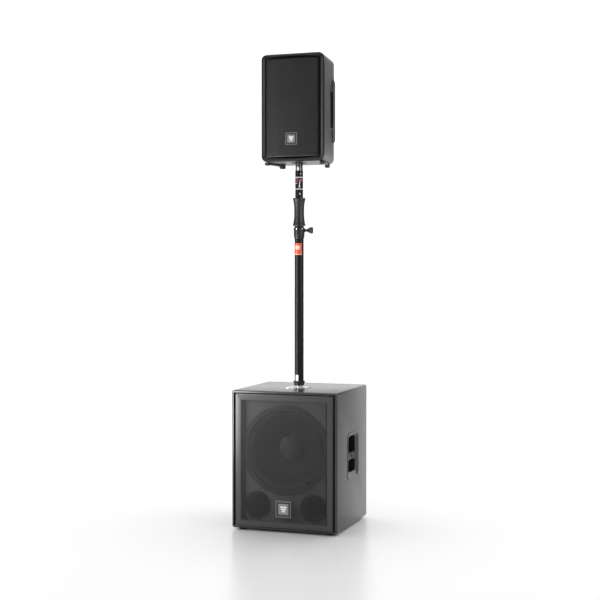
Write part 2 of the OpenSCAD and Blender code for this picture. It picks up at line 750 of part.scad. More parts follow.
module at_top_driver() into(seam_y - 6, top_driver_z) scale(top_driver_od / draw_od) children();

module top_driver_frame() color("#202124") at_top_driver() driver_frame();
module top_driver_magnet() at_top_driver() driver_magnet();
module top_surround() color("#18181a") at_top_driver() driver_surround();
module top_cone() color("#1f1f21") at_top_driver() {
    driver_cone();
    driver_cap();
}

module horn_shape(grow) hull() {
    translate([-horn_mouth[0] / 2 + 9 - grow, -horn_mouth[1] / 2 + 9 - grow, 0])
        cube([horn_mouth[0] - 18 + 2 * grow, horn_mouth[1] - 18 + 2 * grow, 0.5]);
    translate([0, 0, horn_deep - 0.5]) cylinder(r = horn_throat_r + grow, h = 0.5, $fn = 32);
}

module top_horn() color("#19191b") into(seam_y - 6, horn_z) {
    difference() {
        union() {
            translate([-horn_mouth[0] / 2, -horn_mouth[1] / 2, -3]) cube([horn_mouth[0], horn_mouth[1], 3]);
            horn_shape(0);
        }
        translate([0, 0, 0]) horn_shape(-3);
        translate([-horn_mouth[0] / 2 + 12, -horn_mouth[1] / 2 + 12, -4])
            cube([horn_mouth[0] - 24, horn_mouth[1] - 24, 4.2]);
        translate([0, 0, horn_deep - 5]) cylinder(r = horn_throat_r - 3, h = 10);
    }
}

module top_compression_driver() color("#2c2d30") into(seam_y - 6 + horn_deep, horn_z) {
    cylinder(r = 42, h = 34);
    translate([0, 0, 34 - hair]) cylinder(r = 30, h = 10);
}

module top_amp_plate() color("#232427") difference() {
    at_top_tray() tray(top_tray);
    at_top_tray() {
        for (p = top_jack_at) on_tray(p) jack_hole();
        for (p = top_knob_at) on_tray(p) knob_hole();
        on_tray(top_button_at) button_hole();
        on_tray(top_switch_at) rocker_hole();
        on_tray(top_inlet_at) inlet_hole();
    }
}

module top_amp_module() color("#2e5a3a") at_top_tray() {
    box([-75, -46, -110], [75, -44, 20]);
    box([-60, -52, -60], [-10, -46 + hair, 0]);
}

module top_jacks() color("#141416") at_top_tray() for (p = top_jack_at) on_tray(p) jack();
module top_mains_inlet() color("#141416") at_top_tray() on_tray(top_inlet_at) inlet();
module top_level_knob_1() color("#111113") at_top_tray() on_tray(top_knob_at[0]) knob();
module top_level_knob_2() color("#111113") at_top_tray() on_tray(top_knob_at[1]) knob();
module top_mode_button() color("#c9cacc") at_top_tray() on_tray(top_button_at) button();
module top_power_switch() color("#111113") at_top_tray() on_tray(top_switch_at) rocker_cap();

// ---------- one line per node ----------

sub_side_left();
sub_side_right();
sub_top_panel();
sub_bottom_panel();
sub_back_panel();
sub_baffle();
sub_grille();
sub_badge();
sub_handle_left();
sub_handle_right();
sub_pole_socket();
sub_feet();
sub_driver_frame();
sub_driver_magnet();
sub_surround();
sub_spider();
sub_cone();
sub_dust_cap();
sub_ports();
sub_amp_plate();
sub_amp_module();
sub_jacks();
sub_mains_inlet();
sub_screws();
sub_level_knob();
sub_polarity_button();
sub_power_switch();
pole_thread_stud();
pole_lock_ring();
pole_lower_tube();
pole_clamp_collar();
pole_wing_knob();
pole_hand_grip();
pole_label();
pole_gas_cylinder();
pole_upper_tube();
pole_guide_bush();
pole_gas_rod();
pole_spigot();
top_front_shell();
top_rear_shell();
top_grille();
top_badge();
top_handles();
top_pole_cup();
top_foot_rails();
top_driver_frame();
top_driver_magnet();
top_surround();
top_cone();
top_horn();
top_compression_driver();
top_amp_plate();
top_amp_module();
top_jacks();
top_mains_inlet();
top_level_knob_1();
top_level_knob_2();
top_mode_button();
top_power_switch();
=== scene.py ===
"""Looks of a pole-mounted two-way speaker on a powered subwoofer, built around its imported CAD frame."""
import json
from math import atan, cos, dist, pi, radians, sin, sqrt, tau

import bmesh
import bpy
from mathutils import Matrix, Vector


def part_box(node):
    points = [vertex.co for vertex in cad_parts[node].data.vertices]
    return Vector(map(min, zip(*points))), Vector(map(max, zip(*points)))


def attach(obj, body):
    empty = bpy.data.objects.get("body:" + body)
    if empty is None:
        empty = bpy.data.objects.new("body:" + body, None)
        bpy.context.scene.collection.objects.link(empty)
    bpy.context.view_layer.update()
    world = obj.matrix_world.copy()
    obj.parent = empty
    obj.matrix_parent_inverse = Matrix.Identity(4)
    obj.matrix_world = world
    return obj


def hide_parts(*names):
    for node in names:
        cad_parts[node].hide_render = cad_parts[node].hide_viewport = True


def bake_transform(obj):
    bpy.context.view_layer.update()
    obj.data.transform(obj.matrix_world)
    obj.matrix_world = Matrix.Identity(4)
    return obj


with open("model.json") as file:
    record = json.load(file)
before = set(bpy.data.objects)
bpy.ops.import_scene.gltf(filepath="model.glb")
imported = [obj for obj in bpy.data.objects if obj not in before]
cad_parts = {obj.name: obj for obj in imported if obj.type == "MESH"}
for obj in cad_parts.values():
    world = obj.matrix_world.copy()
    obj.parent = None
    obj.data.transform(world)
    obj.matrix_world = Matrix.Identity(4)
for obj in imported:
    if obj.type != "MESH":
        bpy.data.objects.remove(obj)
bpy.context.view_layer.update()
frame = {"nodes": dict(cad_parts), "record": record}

MM = 0.001
X, Y, Z = Vector((1, 0, 0)), Vector((0, 1, 0)), Vector((0, 0, 1))
ORIGIN = Vector((0, 0, 0))
CORNER_STEPS = 6


# ---------- mesh helpers ----------

def mm(*values):
    """Numbers in millimetres, in nested tuples if need be, as metres."""
    return tuple(mm(*value) if isinstance(value, tuple) else value * MM for value in values)


def around(base, *steps):
    """Tuples that each add a step in millimetres to the same base in metres."""
    return [tuple(b + s * MM for b, s in zip(base, step)) for step in steps]


def rims(w, h, r, depth, *steps, shift=()):
    """Rings for a loft: each step is (inset over both sides, change of r, change of depth) in millimetres."""
    return [(w - inset * MM, h - inset * MM, r + dr * MM, depth + deeper * MM, *shift)
        for inset, dr, deeper in steps]


def rounded_loop(w, h, r, steps=CORNER_STEPS):
    """Points of a rounded rectangle round (0, 0), anticlockwise."""
    r = min(r, w / 2, h / 2)
    corners = ((w / 2 - r, h / 2 - r), (r - w / 2, h / 2 - r), (r - w / 2, r - h / 2), (w / 2 - r, r - h / 2))
    points = []
    for turn, (cx, cy) in enumerate(corners):
        for i in range(steps + 1):
            a = pi / 2 * (turn + i / steps)
            points.append((cx + r * cos(a), cy + r * sin(a)))
    return points


def skin(bm, loops, ends=(True, True)):
    """Quads between successive closed loops of vertices, with a face over each end that is asked for."""
    for a, b in zip(loops, loops[1:]):
        for i in range(len(a)):
            j = (i + 1) % len(a)
            corners = []
            for v in (a[i], a[j], b[j], b[i]):
                if v not in corners:
                    corners.append(v)
            if len(corners) > 2:
                bm.faces.new(corners)
    for wanted, loop in zip(ends, (loops[0], loops[-1])):
        if wanted and len(set(loop)) > 2:
            bm.faces.new(loop)


def sheath(bm, loops, closed=False):
    """Skins closed loops of points. A closed sheath's last loop joins its first one."""
    loops = [[bm.verts.new(point) for point in loop] for loop in loops]
    skin(bm, loops + loops[:1] if closed else loops, (not closed, not closed))


def loft(bm, plane, rings, ends=(True, True), steps=CORNER_STEPS):
    """Skins rounded rectangles. plane is (origin, u, v, n); a ring is (w, h, r, depth, shift u, shift v)."""
    origin, u, v, n = plane
    loops = []
    for w, h, r, depth, *shift in rings:
        du, dv = shift or (0, 0)
        middle = origin + n * depth
        loops.append(
            [bm.verts.new(middle + u * (x + du) + v * (y + dv)) for x, y in rounded_loop(w, h, r, steps)])
    skin(bm, loops, ends)


def closed_loft(bm, plane, rings, merge, steps=CORNER_STEPS):
    """A loft whose last ring joins its first one. Points nearer than merge become one."""
    loft(bm, plane, [*rings, rings[0]], ends=(False, False), steps=steps)
    bmesh.ops.remove_doubles(bm, verts=bm.verts, dist=merge)


def lathe(bm, origin, axis, profile, steps=64, ends=(True, True)):
    """Turns a profile of (radius, height) about an axis. A zero radius is a point on the axis."""
    side = axis.orthogonal().normalized()
    across = axis.cross(side)
    loops = []
    for r, height in profile:
        middle = origin + axis * height
        if r == 0:
            loops.append([bm.verts.new(middle)] * steps)
            continue
        turn = (2 * pi * i / steps for i in range(steps))
        loops.append([bm.verts.new(middle + side * (r * cos(a)) + across * (r * sin(a))) for a in turn])
    skin(bm, loops, ends)


def ring_solid(bm, origin, axis, profile, steps=64):
    """Turns a closed profile that doesn't touch the axis."""
    side = axis.orthogonal().normalized()
    across = axis.cross(side)
    loops = []
    for i in range(steps):
        a = 2 * pi * i / steps
        out = side * cos(a) + across * sin(a)
        loops.append([bm.verts.new(origin + out * r + axis * height) for r, height in profile])
    skin(bm, loops + loops[:1], (False, False))


def prism(bm, plane, outline, depth0, depth1):
    """A straight solid over an outline of (u, v) points between two depths along n."""
    origin, u, v, n = plane
    loops = [[bm.verts.new(origin + u * x + v * y + n * d) for x, y in outline] for d in (depth0, depth1)]
    skin(bm, loops)


def block(bm, low, high):
    """A box between two corners."""
    low, high = Vector(low), Vector(high)
    prism(bm, (ORIGIN, X, Y, Z), ((low.x, low.y), (high.x, low.y), (high.x, high.y), (low.x, high.y)), low.z,
        high.z)


def new_object(name, bm):
    bmesh.ops.recalc_face_normals(bm, faces=bm.faces)
    mesh = bpy.data.meshes.new(name)
    bm.to_mesh(mesh)
    bm.free()
    obj = bpy.data.objects.new(name, mesh)
    bpy.context.scene.collection.objects.link(obj)
    return obj


def made(name, shape, *values, **options):
    """An object made by one mesh helper."""
    bm = bmesh.new()
    shape(bm, *values, **options)
    return new_object(name, bm)


def bake(obj):
    """Replaces the mesh with what its modifiers make of it."""
    graph = bpy.context.evaluated_depsgraph_get()
    mesh = bpy.data.meshes.new_from_object(obj.evaluated_get(graph))
    obj.modifiers.clear()
    obj.data = mesh


def cut(obj, shape, *values, **options):
    """Cuts what a mesh helper makes out of an object's mesh."""
    cutter = made("cutter", shape, *values, **options)
    tool = obj.modifiers.new("cut", "BOOLEAN")
    tool.object = cutter
    tool.solver = "EXACT"
    bake(obj)
    bpy.data.objects.remove(cutter)


def thicken(obj, thickness, offset):
    wall = obj.modifiers.new("thickness", "SOLIDIFY")
    wall.thickness = thickness
    wall.offset = offset


def bevel(obj, width, segments=3, angle=40):
    edge = obj.modifiers.new("bevel", "BEVEL")
    edge.width = width
    edge.segments = segments
    edge.limit_method = "ANGLE"
    edge.angle_limit = radians(angle)
    edge.harden_normals = True
    return obj


def piece(obj, body, material, replaces=(), smooth=35):
    """Gives an object its finish and its body, if any. Edges sharper than smooth degrees stay crisp."""
    obj.data.materials.clear()
    obj.data.materials.append(MATERIAL[material])
    obj.data.polygons.foreach_set("use_smooth", [True] * len(obj.data.polygons))
    obj.data.set_sharp_from_angle(angle=radians(smooth))
    if body:
        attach(obj, body)
    if replaces:
        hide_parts(*replaces)
    return obj


def middle(node):
    low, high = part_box(node)
    return (low + high) / 2


# ---------- materials ----------

class Graph:
    """One material's node tree, with short calls to add and join nodes."""

    def __init__(self, name="material"):
        self.material = bpy.data.materials.new(name)
        self.material.use_nodes = True
        self.tree = self.material.node_tree
        self.shader = self.tree.nodes["Principled BSDF"]
        self.place = self.add("ShaderNodeTexCoord").outputs["Object"]

    def add(self, kind, inputs=(), **settings):
        node = self.tree.nodes.new(kind)
        for key, value in settings.items():
            setattr(node, key, value)
        for key, value in dict(inputs).items():
            self.put(node.inputs[key], value)
        return node

    def put(self, socket, value):
        if isinstance(value, bpy.types.NodeSocket):
            self.tree.links.new(value, socket)
        else:
            socket.default_value = value

    def noise(self, scale, detail=2.0, stretch=None, roughness=0.5):
        place = self.place
        if stretch:
            place = self.add("ShaderNodeMapping", {"Vector": place, "Scale": stretch}).outputs[0]
        return self.add("ShaderNodeTexNoise",
            {"Vector": place, "Scale": scale, "Detail": detail, "Roughness": roughness}).outputs["Fac"]

    def cells(self, scale, feature="SMOOTH_F1"):
        node = self.add("ShaderNodeTexVoronoi", {"Vector": self.place, "Scale": scale}, feature=feature)
        return node.outputs[0]

    def remap(self, value, low, high, to_low=0.0, to_high=1.0):
        return self.add("ShaderNodeMapRange",
            {"Value": value, "From Min": low, "From Max": high, "To Min": to_low, "To Max": to_high}).outputs[0]

    def mix(self, share, a, b):
        node = self.add("ShaderNodeMix", data_type="RGBA")
        self.put(node.inputs[0], share)
        self.put(node.inputs[6], a)
        self.put(node.inputs[7], b)
        return node.outputs[2]

    def math(self, operation, a, b=0.0):
        node = self.add("ShaderNodeMath", operation=operation)
        self.put(node.inputs[0], a)
        self.put(node.inputs[1], b)
        return node.outputs[0]

    def bump(self, height, distance, strength=1.0, under=None):
        inputs = {"Height": height, "Distance": distance, "Strength": strength}
        if under is not None:
            inputs["Normal"] = under
        return self.add("ShaderNodeBump", inputs).outputs[0]

    def upward(self):
        """1 where a face looks up and 0 where it is upright or looks down."""
        normal = self.add("ShaderNodeNewGeometry").outputs["Normal"]
        return self.add("ShaderNodeSeparateXYZ", {"Vector": normal}).outputs["Z"]

    def set(self, **values):
        for key, value in values.items():
            self.put(self.shader.inputs[key.replace("_", " ").title().replace("Ior", "IOR")], value)
        return self.material


def rgba(colour, share=1.0):
    return tuple(min(1.0, c * share) for c in colour) + (1.0,)


def coated(colour, rough, grain, depth, patch=0.12, dust=0.0, metallic=0.0, specular=0.5, vary=0.03):
    """Paint or moulded plastic: a fine grain in relief, slow changes of tone, and dust on what faces up."""
    g = Graph()
    slow = g.remap(g.noise(7, 3), 0.3, 0.7)
    tone = g.mix(slow, rgba(colour, 1 - patch), rgba(colour, 1 + patch))
    speckle = g.remap(g.cells(grain), 0.0, 0.9)
    tone = g.mix(g.math("MULTIPLY", speckle, 0.25), tone, rgba(colour, 1.6))
    if dust:
        settled = g.math("MULTIPLY", g.remap(g.upward(), 0.6, 1.0, 0.0, dust),
            g.remap(g.noise(40, 4), 0.35, 0.75))
        tone = g.mix(settled, tone, (0.3, 0.29, 0.28, 1))
    relief = g.bump(g.cells(grain), depth)
    relief = g.bump(g.noise(grain * 0.35, 3), depth * 1.5, 0.6, relief)
    roughness = g.remap(g.noise(25, 4), 0.25, 0.75, rough - vary, rough + vary)
    return g.set(base_color=tone, roughness=roughness, metallic=metallic, specular_ior_level=specular,
        normal=relief)


def brushed(colour, rough, stretch, metallic=1.0):
    """Metal with fine lines along one axis."""
    g = Graph()
    lines = g.noise(900, 2, stretch)
    tone = g.mix(g.remap(lines, 0.3, 0.7), rgba(colour, 0.8), rgba(colour, 1.15))
    stain = g.remap(g.noise(60, 4), 0.3, 0.8, rough - 0.05, rough + 0.12)
    return g.set(base_color=tone, roughness=stain, metallic=metallic, normal=g.bump(lines, 0.00004))


def woven(colour, pitch, rough=0.85):
    """Treated cloth: two crossed sets of threads."""
    g = Graph()
    waves = []
    for direction in ("X", "Z"):
        waves.append(g.add("ShaderNodeTexWave", {"Vector": g.place, "Scale": 1 / pitch / tau * 6.3},
            bands_direction=direction).outputs["Fac"])
    threads = g.math("MULTIPLY", waves[0], waves[1])
    tone = g.mix(threads, rgba(colour, 0.6), rgba(colour, 1.3))
    relief = g.bump(threads, 0.0002)
    return g.set(base_color=tone, roughness=rough, normal=relief)


def paper(colour):
    """Pressed pulp with loose fibres."""
    g = Graph()
    fibres = g.noise(420, 5, (1, 1, 0.4), 0.7)
    tone = g.mix(g.remap(fibres, 0.35, 0.75), rgba(colour, 0.75), rgba(colour, 1.7))
    return g.set(base_color=tone, roughness=g.remap(fibres, 0.2, 0.8, 0.6, 0.85), normal=g.bump(fibres, 0.0004),
        specular_ior_level=0.15)


def circuit():
    """A green board with copper runs."""
    g = Graph()
    runs = g.add("ShaderNodeTexBrick", {
        "Vector": g.add("ShaderNodeMapping", {"Vector": g.place, "Rotation": (pi / 2, 0, 0)}).outputs[0],
        "Scale": 60.0, "Color1": (0.012, 0.09, 0.035, 1), "Color2": (0.015, 0.12, 0.05, 1),
        "Mortar": (0.04, 0.2, 0.08, 1), "Mortar Size": 0.03}).outputs["Color"]
    tone = g.mix(g.math("GREATER_THAN", g.cells(180, "F1"), 0.62), runs, (0.35, 0.22, 0.08, 1))
    return g.set(base_color=tone, roughness=g.remap(g.noise(50), 0.3, 0.7, 0.3, 0.45))


def printed(colour, rough=0.42):
    """Printed film: even ink, with faint scuffs."""
    g = Graph()
    scuff = g.remap(g.noise(260, 5, (1, 1, 0.25), 0.7), 0.62, 0.75)
    tone = g.mix(g.math("MULTIPLY", scuff, 0.35), rgba(colour), rgba(colour, 0.55))
    tone = g.mix(g.remap(g.noise(35, 2), 0.3, 0.7, 0.0, 0.18), tone, rgba(colour, 0.8))
    return g.set(base_color=tone, roughness=g.remap(scuff, 0, 1, rough, rough + 0.2),
        normal=g.bump(g.noise(500), 0.00003))


def glowing(colour):
    """A small indicator lamp, lit."""
    g = Graph()
    tone = g.mix(g.noise(300), rgba(colour, 0.7), rgba(colour, 1.2))
    g.set(base_color=tone, roughness=0.2, emission_color=tone)
    return g.set(emission_strength=1.2)


MATERIAL = {
    "cabinet_paint": coated((0.02, 0.02, 0.0205), 0.24, 620, 0.000012, dust=0.02, vary=0.02),
    "baffle_paint": coated((0.031, 0.031, 0.032), 0.6, 500, 0.0002),
    "grille_steel": coated((0.026, 0.026, 0.0265), 0.3, 1400, 0.00001, patch=0.05),
    "top_grille_steel": coated((0.023, 0.0235, 0.0245), 0.36, 1400, 0.00001, patch=0.05),
    "shell_plastic": coated((0.011, 0.0115, 0.0125), 0.3, 1500, 0.00001, specular=0.4),
    "bezel_plastic": coated((0.01, 0.0103, 0.011), 0.24, 1500, 0.00001, specular=0.5),
    "black_plastic": coated((0.006, 0.006, 0.0063), 0.4, 1200, 0.00002, specular=0.3),
    # A darker, duller copy of the black plastic: painted shade for deep cups, slots, gaps and port tubes.
    "painted_shade_plastic": coated((0.003, 0.003, 0.003), 0.6, 1200, 0.00002, specular=0.15),
    "handle_plastic": coated((0.014, 0.014, 0.0145), 0.26, 1200, 0.00001),
    # A lighter copy of the handle plastic: painted highlight on the handle's lower lip.
    "handle_lip_painted_highlight": coated((0.11, 0.11, 0.112), 0.4, 1200, 0.00001),
    "badge_metal": brushed((0.17, 0.172, 0.175), 0.35, (1, 1, 0.03), metallic=0.8),
    "badge_field": coated((0.01, 0.01, 0.0105), 0.3, 1500, 0.00001),
    "badge_plate": brushed((0.2, 0.2, 0.205), 0.4, (1, 1, 0.03), metallic=0.6),
    # Near-black foam cloth, which also paints the shade behind the sub grille's side borders.
    "painted_shade_foam_strip": woven((0.006, 0.006, 0.006), 0.002, 0.95),
    "acoustic_foam": coated((0.009, 0.0093, 0.01), 0.9, 900, 0.0004, specular=0.1),
    "rubber_black": coated((0.01, 0.01, 0.01), 0.55, 900, 0.00006, specular=0.35),
    "grip_rubber": coated((0.009, 0.009, 0.0095), 0.4, 1100, 0.00002, specular=0.35),
    "driver_paint": coated((0.006, 0.006, 0.0062), 0.5, 900, 0.00004, specular=0.25),
    "magnet": coated((0.07, 0.07, 0.075), 0.5, 700, 0.00008, metallic=0.6),
    "paper_cone": paper((0.006, 0.006, 0.0062)),
    "dome_paper": paper((0.022, 0.022, 0.0225)),
    "woven_fabric": woven((0.42, 0.33, 0.16), 0.001),
    "surround_foam": woven((0.008, 0.008, 0.0085), 0.0008),
    "amp_metal": brushed((0.025, 0.025, 0.027), 0.38, (0.03, 1, 1), metallic=0.3),
    "board": circuit(),
    "tube_steel": coated((0.006, 0.006, 0.006), 0.2, 1800, 0.000002, patch=0.05, specular=0.11, vary=0.01),
    "bare_metal": brushed((0.5, 0.505, 0.51), 0.28, (1, 1, 0.05)),
    "socket_metal": brushed((0.6, 0.6, 0.61), 0.24, (1, 0.05, 1)),
    "spigot_metal": brushed((0.1, 0.1, 0.103), 0.3, (0.05, 0.05, 1)),
    "label_orange": printed((0.46, 0.042, 0.009)),
    "label_amber": printed((0.42, 0.055, 0.008)),
    "label_pink": printed((0.62, 0.36, 0.29)),
    "label_white": printed((0.6, 0.6, 0.59)),
    "label_red": printed((0.09, 0.005, 0.02)),
    "label_rose": printed((0.42, 0.15, 0.2)),
    "bush_plastic": coated((0.5, 0.5, 0.48), 0.4, 800, 0.00003),
    "button_grey": coated((0.25, 0.25, 0.26), 0.45, 1400, 0.00003),
    "lamp_green": glowing((0.05, 0.6, 0.12)),
}


for key, material in MATERIAL.items():
    material.name = key


def shade_inside(obj, name, inside):
    """One more material for the faces whose middle is inside: painted shade, such as at the bottom of a deep
    cup, and painted highlights.
    """
    obj.data.materials.append(MATERIAL[name])
    for face in obj.data.polygons:
        if inside(face.center):
            face.material_index = len(obj.data.materials) - 1


def finish_cad_nodes():
    """Every CAD node that stays in view gets the material of its own slot."""
    slots = {s["node"]: s["material_slot"] for s in frame["record"]["subparts"]}
    for name, obj in frame["nodes"].items():
        obj.data.materials.clear()
        obj.data.materials.append(MATERIAL["dome_paper" if name.endswith("dust_cap") else slots[name]])


# ---------- subwoofer cabinet ----------

SUB_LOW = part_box("sub_side_left")[0]
SUB_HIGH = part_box("sub_side_right")[1]
PLY = SUB_HIGH.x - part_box("sub_side_right")[0].x
LIP = 10 * MM
POLE_X, POLE_Y = middle("pole_lower_tube").x, middle("pole_lower_tube").y
BODY_SUB = "subwoofer"
BODY_TOP = "top_speaker"


def sub_cabinet():
    """The plywood box as one painted skin: the paint covers the joints between its panels."""
    size = SUB_HIGH - SUB_LOW
    centre = (SUB_HIGH + SUB_LOW) / 2
    round_r = 9 * MM
    bm = bmesh.new()
    bmesh.ops.create_cube(bm, size=1, matrix=Matrix.Translation(centre) @ Matrix.Diagonal((*size, 1)))
    bmesh.ops.bevel(bm, geom=list(bm.edges), offset=round_r, segments=5, profile=0.5, affect="EDGES")
    box = new_object("sub_cabinet", bm)
    baffle_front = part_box("sub_baffle")[0].y
    cut(box, block, (SUB_LOW.x + LIP, SUB_LOW.y - LIP, SUB_LOW.z + LIP),
        (SUB_HIGH.x - LIP, baffle_front, SUB_HIGH.z - LIP))
    cut(box, block, (SUB_LOW.x + PLY, baffle_front - PLY, SUB_LOW.z + PLY), SUB_HIGH - Vector((PLY, PLY, PLY)))
    for side in (1, -1):
        plane = (Vector((SUB_HIGH.x * side, HANDLE_Y, DISH_Z)), Y, Z, X * side)
        window = (DISH_W + 5 * MM, DISH_H + 5 * MM, 24 * MM)
        cut(box, loft, plane, ((*window, -2 * PLY), (*window, PLY)))
    low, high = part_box("sub_amp_plate")
    cut(box, block, (low.x + TRAY_RIM, SUB_HIGH.y - 2 * PLY, low.z + TRAY_RIM),
        (high.x - TRAY_RIM, SUB_HIGH.y + PLY, high.z - TRAY_RIM))
    cut(box, lathe, pole_point(SUB_HIGH.z - 2 * PLY), Z, ((26 * MM, 0), (26 * MM, 3 * PLY)), 48)
    bevel(box, 1.2 * MM, 2, 60)
    piece(box, BODY_SUB, "cabinet_paint",
        ("sub_side_left", "sub_side_right", "sub_top_panel", "sub_bottom_panel", "sub_back_panel"))


TRAY_RIM = 12 * MM
HANDLE_Y = middle("sub_handle_right").y
DISH_Z = middle("sub_handle_right").z
CUP_Z = DISH_Z + 5.5 * MM
CUP_W, CUP_H = mm(105, 157)
DISH_W, DISH_H = mm(150, 186)
DISH_DEEP = 7 * MM
BAR_Z, BAR_H, BAR_T = mm(310.5, 35, 22)


def sub_handle(side, node):
    """A dished bezel, a deep cup with painted shade inside and a painted highlight on the dish's lower lip, and
    a rounded grip bar across it, with a screw in the bar.
    """
    low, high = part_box(node)
    out = X * side
    plane = (Vector((SUB_HIGH.x * side, HANDLE_Y, 0)), Y, Z, out)
    w, h = CUP_W, CUP_H
    rim_w, rim_h = high.y - low.y, high.z - low.z
    rings = [(w + 5 * MM, h + 5 * MM, 18 * MM, -57.5 * MM, 0, CUP_Z),
        (w + 5 * MM, h + 5 * MM, 18 * MM, -DISH_DEEP - 2.6 * MM, 0, CUP_Z),
        *rims(DISH_W, DISH_H, 0, 0, (-4, 24, -3), (-4, 24, 0.05), shift=(0, DISH_Z))]
    rings += [(rim_w - 2 * inset * MM, rim_h - 2 * inset * MM, 30 * MM, up * MM, 0, DISH_Z)
        for inset, up in ((0, 0.05), (0, 0.9), (0.3, 1.25), (0.9, 1.45), (5, 1.5), (7.5, 1.35), (9, 0.9),
        (10.5, 0.1))]
    for i in range(1, 8):
        t = i / 8
        ease = t * t * (3 - 2 * t)
        rings.append((DISH_W + (w - DISH_W) * t, DISH_H + (h - DISH_H) * t, (24 - 8 * t) * MM,
            -0.4 * MM - (DISH_DEEP - 1 * MM) * (0.5 * t + 0.5 * ease), 0, DISH_Z + (CUP_Z - DISH_Z) * t))
    rings += [*rims(w, h, 0, -DISH_DEEP, (0.5, 16, -0.4), (1.5, 15.5, -3), shift=(0, CUP_Z)),
        *rims(w, h, 0, 0, (3, 15, -48), (9, 12, -53), (20, 8, -54.5), shift=(0, CUP_Z))]
    cup = piece(made(node + "_cup", loft, plane, rings), BODY_SUB, "handle_plastic", (node,), 50)
    # painted shade: the deep inside of the cup in a darker plastic
    shade_inside(cup, "painted_shade_plastic", lambda at: abs(at.x) < SUB_HIGH.x - DISH_DEEP - 2 * MM)
    # painted highlight: a lighter band on the dish's lower lip, in place of its reflection of the light above
    shade_inside(cup, "handle_lip_painted_highlight", lambda at: abs(at.x) > SUB_HIGH.x - DISH_DEEP - 0.5 * MM
        and at.z < CUP_Z - h / 2 and at.z > DISH_Z - DISH_H / 2 - 6 * MM and abs(at.y - HANDLE_Y) < w / 2)
    centre = Vector(((SUB_HIGH.x - DISH_DEEP - BAR_T / 2) * side, HANDLE_Y, BAR_Z))
    rings = []
    for i in range(-10, 11):
        t = i / 10
        flare = 1 + 0.3 * abs(t) ** 5
        rings.append((BAR_T * (1 + 0.1 * abs(t) ** 5), BAR_H * flare, 8 * MM, (w / 2 - 0.6 * MM) * t))
    bar = made(node + "_bar", loft, (centre, out, Z, Y), rings, steps=8)
    cut(bar, lathe, centre + out * (BAR_T / 2 - 8 * MM), out, mm((6, 0), (6, 6), (7.2, 9)), 32)
    piece(bar, BODY_SUB, "black_plastic")
    screw_head(node + "_screw", centre + out * (BAR_T / 2 - 7.9 * MM), out, 4.6 * MM, BODY_SUB)


def screw_head(name, base, axis, r, body, height=None):
    """A pan head with a cross recess. base lies on the surface that it sits on."""
    height = height or 0.5 * r
    side = axis.orthogonal().normalized()
    across = axis.cross(side)
    steps, slot_w, slot_l = 32, 0.13 * r, 0.62 * r
    loops = []
    for share, up in ((1.0, 0), (1.0, 0.35), (0.94, 0.6), (0.82, 0.83), (0.7, 0.95)):
        loops.append([base + side * (r * share * cos(tau * i / steps))
            + across * (r * share * sin(tau * i / steps)) + axis * (up * height) for i in range(steps)])
    for up in (1.0, 0.45):
        loop = []
        for i in range(steps):
            a = tau * i / steps + tau / steps / 2
            x, y = cos(a), sin(a)
            reach = min(slot_l / max(abs(x), abs(y)), slot_w / min(abs(x), abs(y)))
            loop.append(base + side * (x * reach) + across * (y * reach) + axis * (up * height))
        loops.append(loop)
    return piece(made(name, sheath, loops), body, "bare_metal")


# ---------- perforated grilles ----------

def perforated(name, region, pitch, hole, thick, height_at):
    """A sheet in the XZ plane with hexagonal holes in staggered rows. height_at(x, z) gives its Y."""
    (x0, z0), (x1, z1) = region
    row = pitch * sqrt(3) / 2
    cell_r = pitch / sqrt(3)
    hole_r = hole / sqrt(3)
    across = int((x1 - x0) / pitch)
    up = int((z1 - z0) / row)
    start_x = (x0 + x1 - (across - 1) * pitch) / 2
    start_z = (z0 + z1 - (up - 1) * row) / 2
    corners = {}
    keys = 24
    bm = bmesh.new()

    def vertex(x, z):
        key = (round(x / pitch * keys), round(z / pitch * keys))
        if key not in corners:
            corners[key] = bm.verts.new((x, height_at(x, z), z))
        return corners[key]

    for k in range(up):
        odd = k % 2
        for i in range(across - odd):
            cx = start_x + (i + odd / 2) * pitch
            cz = start_z + k * row
            spokes = [pi / 6 + pi / 3 * j for j in range(6)]
            outer = [vertex(cx + cell_r * cos(a), cz + cell_r * sin(a)) for a in spokes]
            inner = [
                bm.verts.new((cx + hole_r * cos(a), height_at(cx + hole_r * cos(a), cz), cz + hole_r * sin(a)))
                for a in spokes]
            for j in range(6):
                m = (j + 1) % 6
                bm.faces.new((outer[j], outer[m], inner[m], inner[j]))
    sheet = new_object(name, bm)
    thicken(sheet, thick, 0)
    return sheet


def sub_grille():
    """A steel tray: a plain rounded border, flanges back to the baffle and a perforated field."""
    low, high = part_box("sub_grille")
    w, h = high.x - low.x, high.z - low.z
    front = (Vector((0, low.y, (low.z + high.z) / 2)), X, Z, -Y)
    border = 26 * MM
    deep = high.y - low.y
    edge_r = 4 * MM
    rings = [(w, h, 5 * MM, -deep)]
    rings += [(w - 2 * inset, h - 2 * inset, 5 * MM, -drop)
        for inset, drop in ((edge_r * (1 - cos(a)), edge_r * (1 - sin(a))) for a in (0, 0.4, 0.8, 1.2, pi / 2))]
    rings += [*rims(w - 2 * border, h - 2 * border, 0, 0, (0, 3, 0), (0, 3, -1.5)),
        *rims(w, h, 0, 0, (12, 5, -1.6), (3, 4, -6)), (w - 3 * MM, h - 3 * MM, 4 * MM, -deep),]
    rim = made("sub_grille_border", closed_loft, front, rings, 0.01 * MM)
    piece(rim, BODY_SUB, "grille_steel", ("sub_grille",))
    z0, z1 = low.z + border - 3 * MM, high.z - border + 3 * MM
    x1 = w / 2 - border + 3 * MM
    mesh = perforated("sub_grille_mesh", ((-x1, z0), (x1, z1)), 7 * MM, 5.9 * MM, 1.2 * MM,
        lambda x, z: low.y + 0.8 * MM)
    piece(mesh, BODY_SUB, "grille_steel")


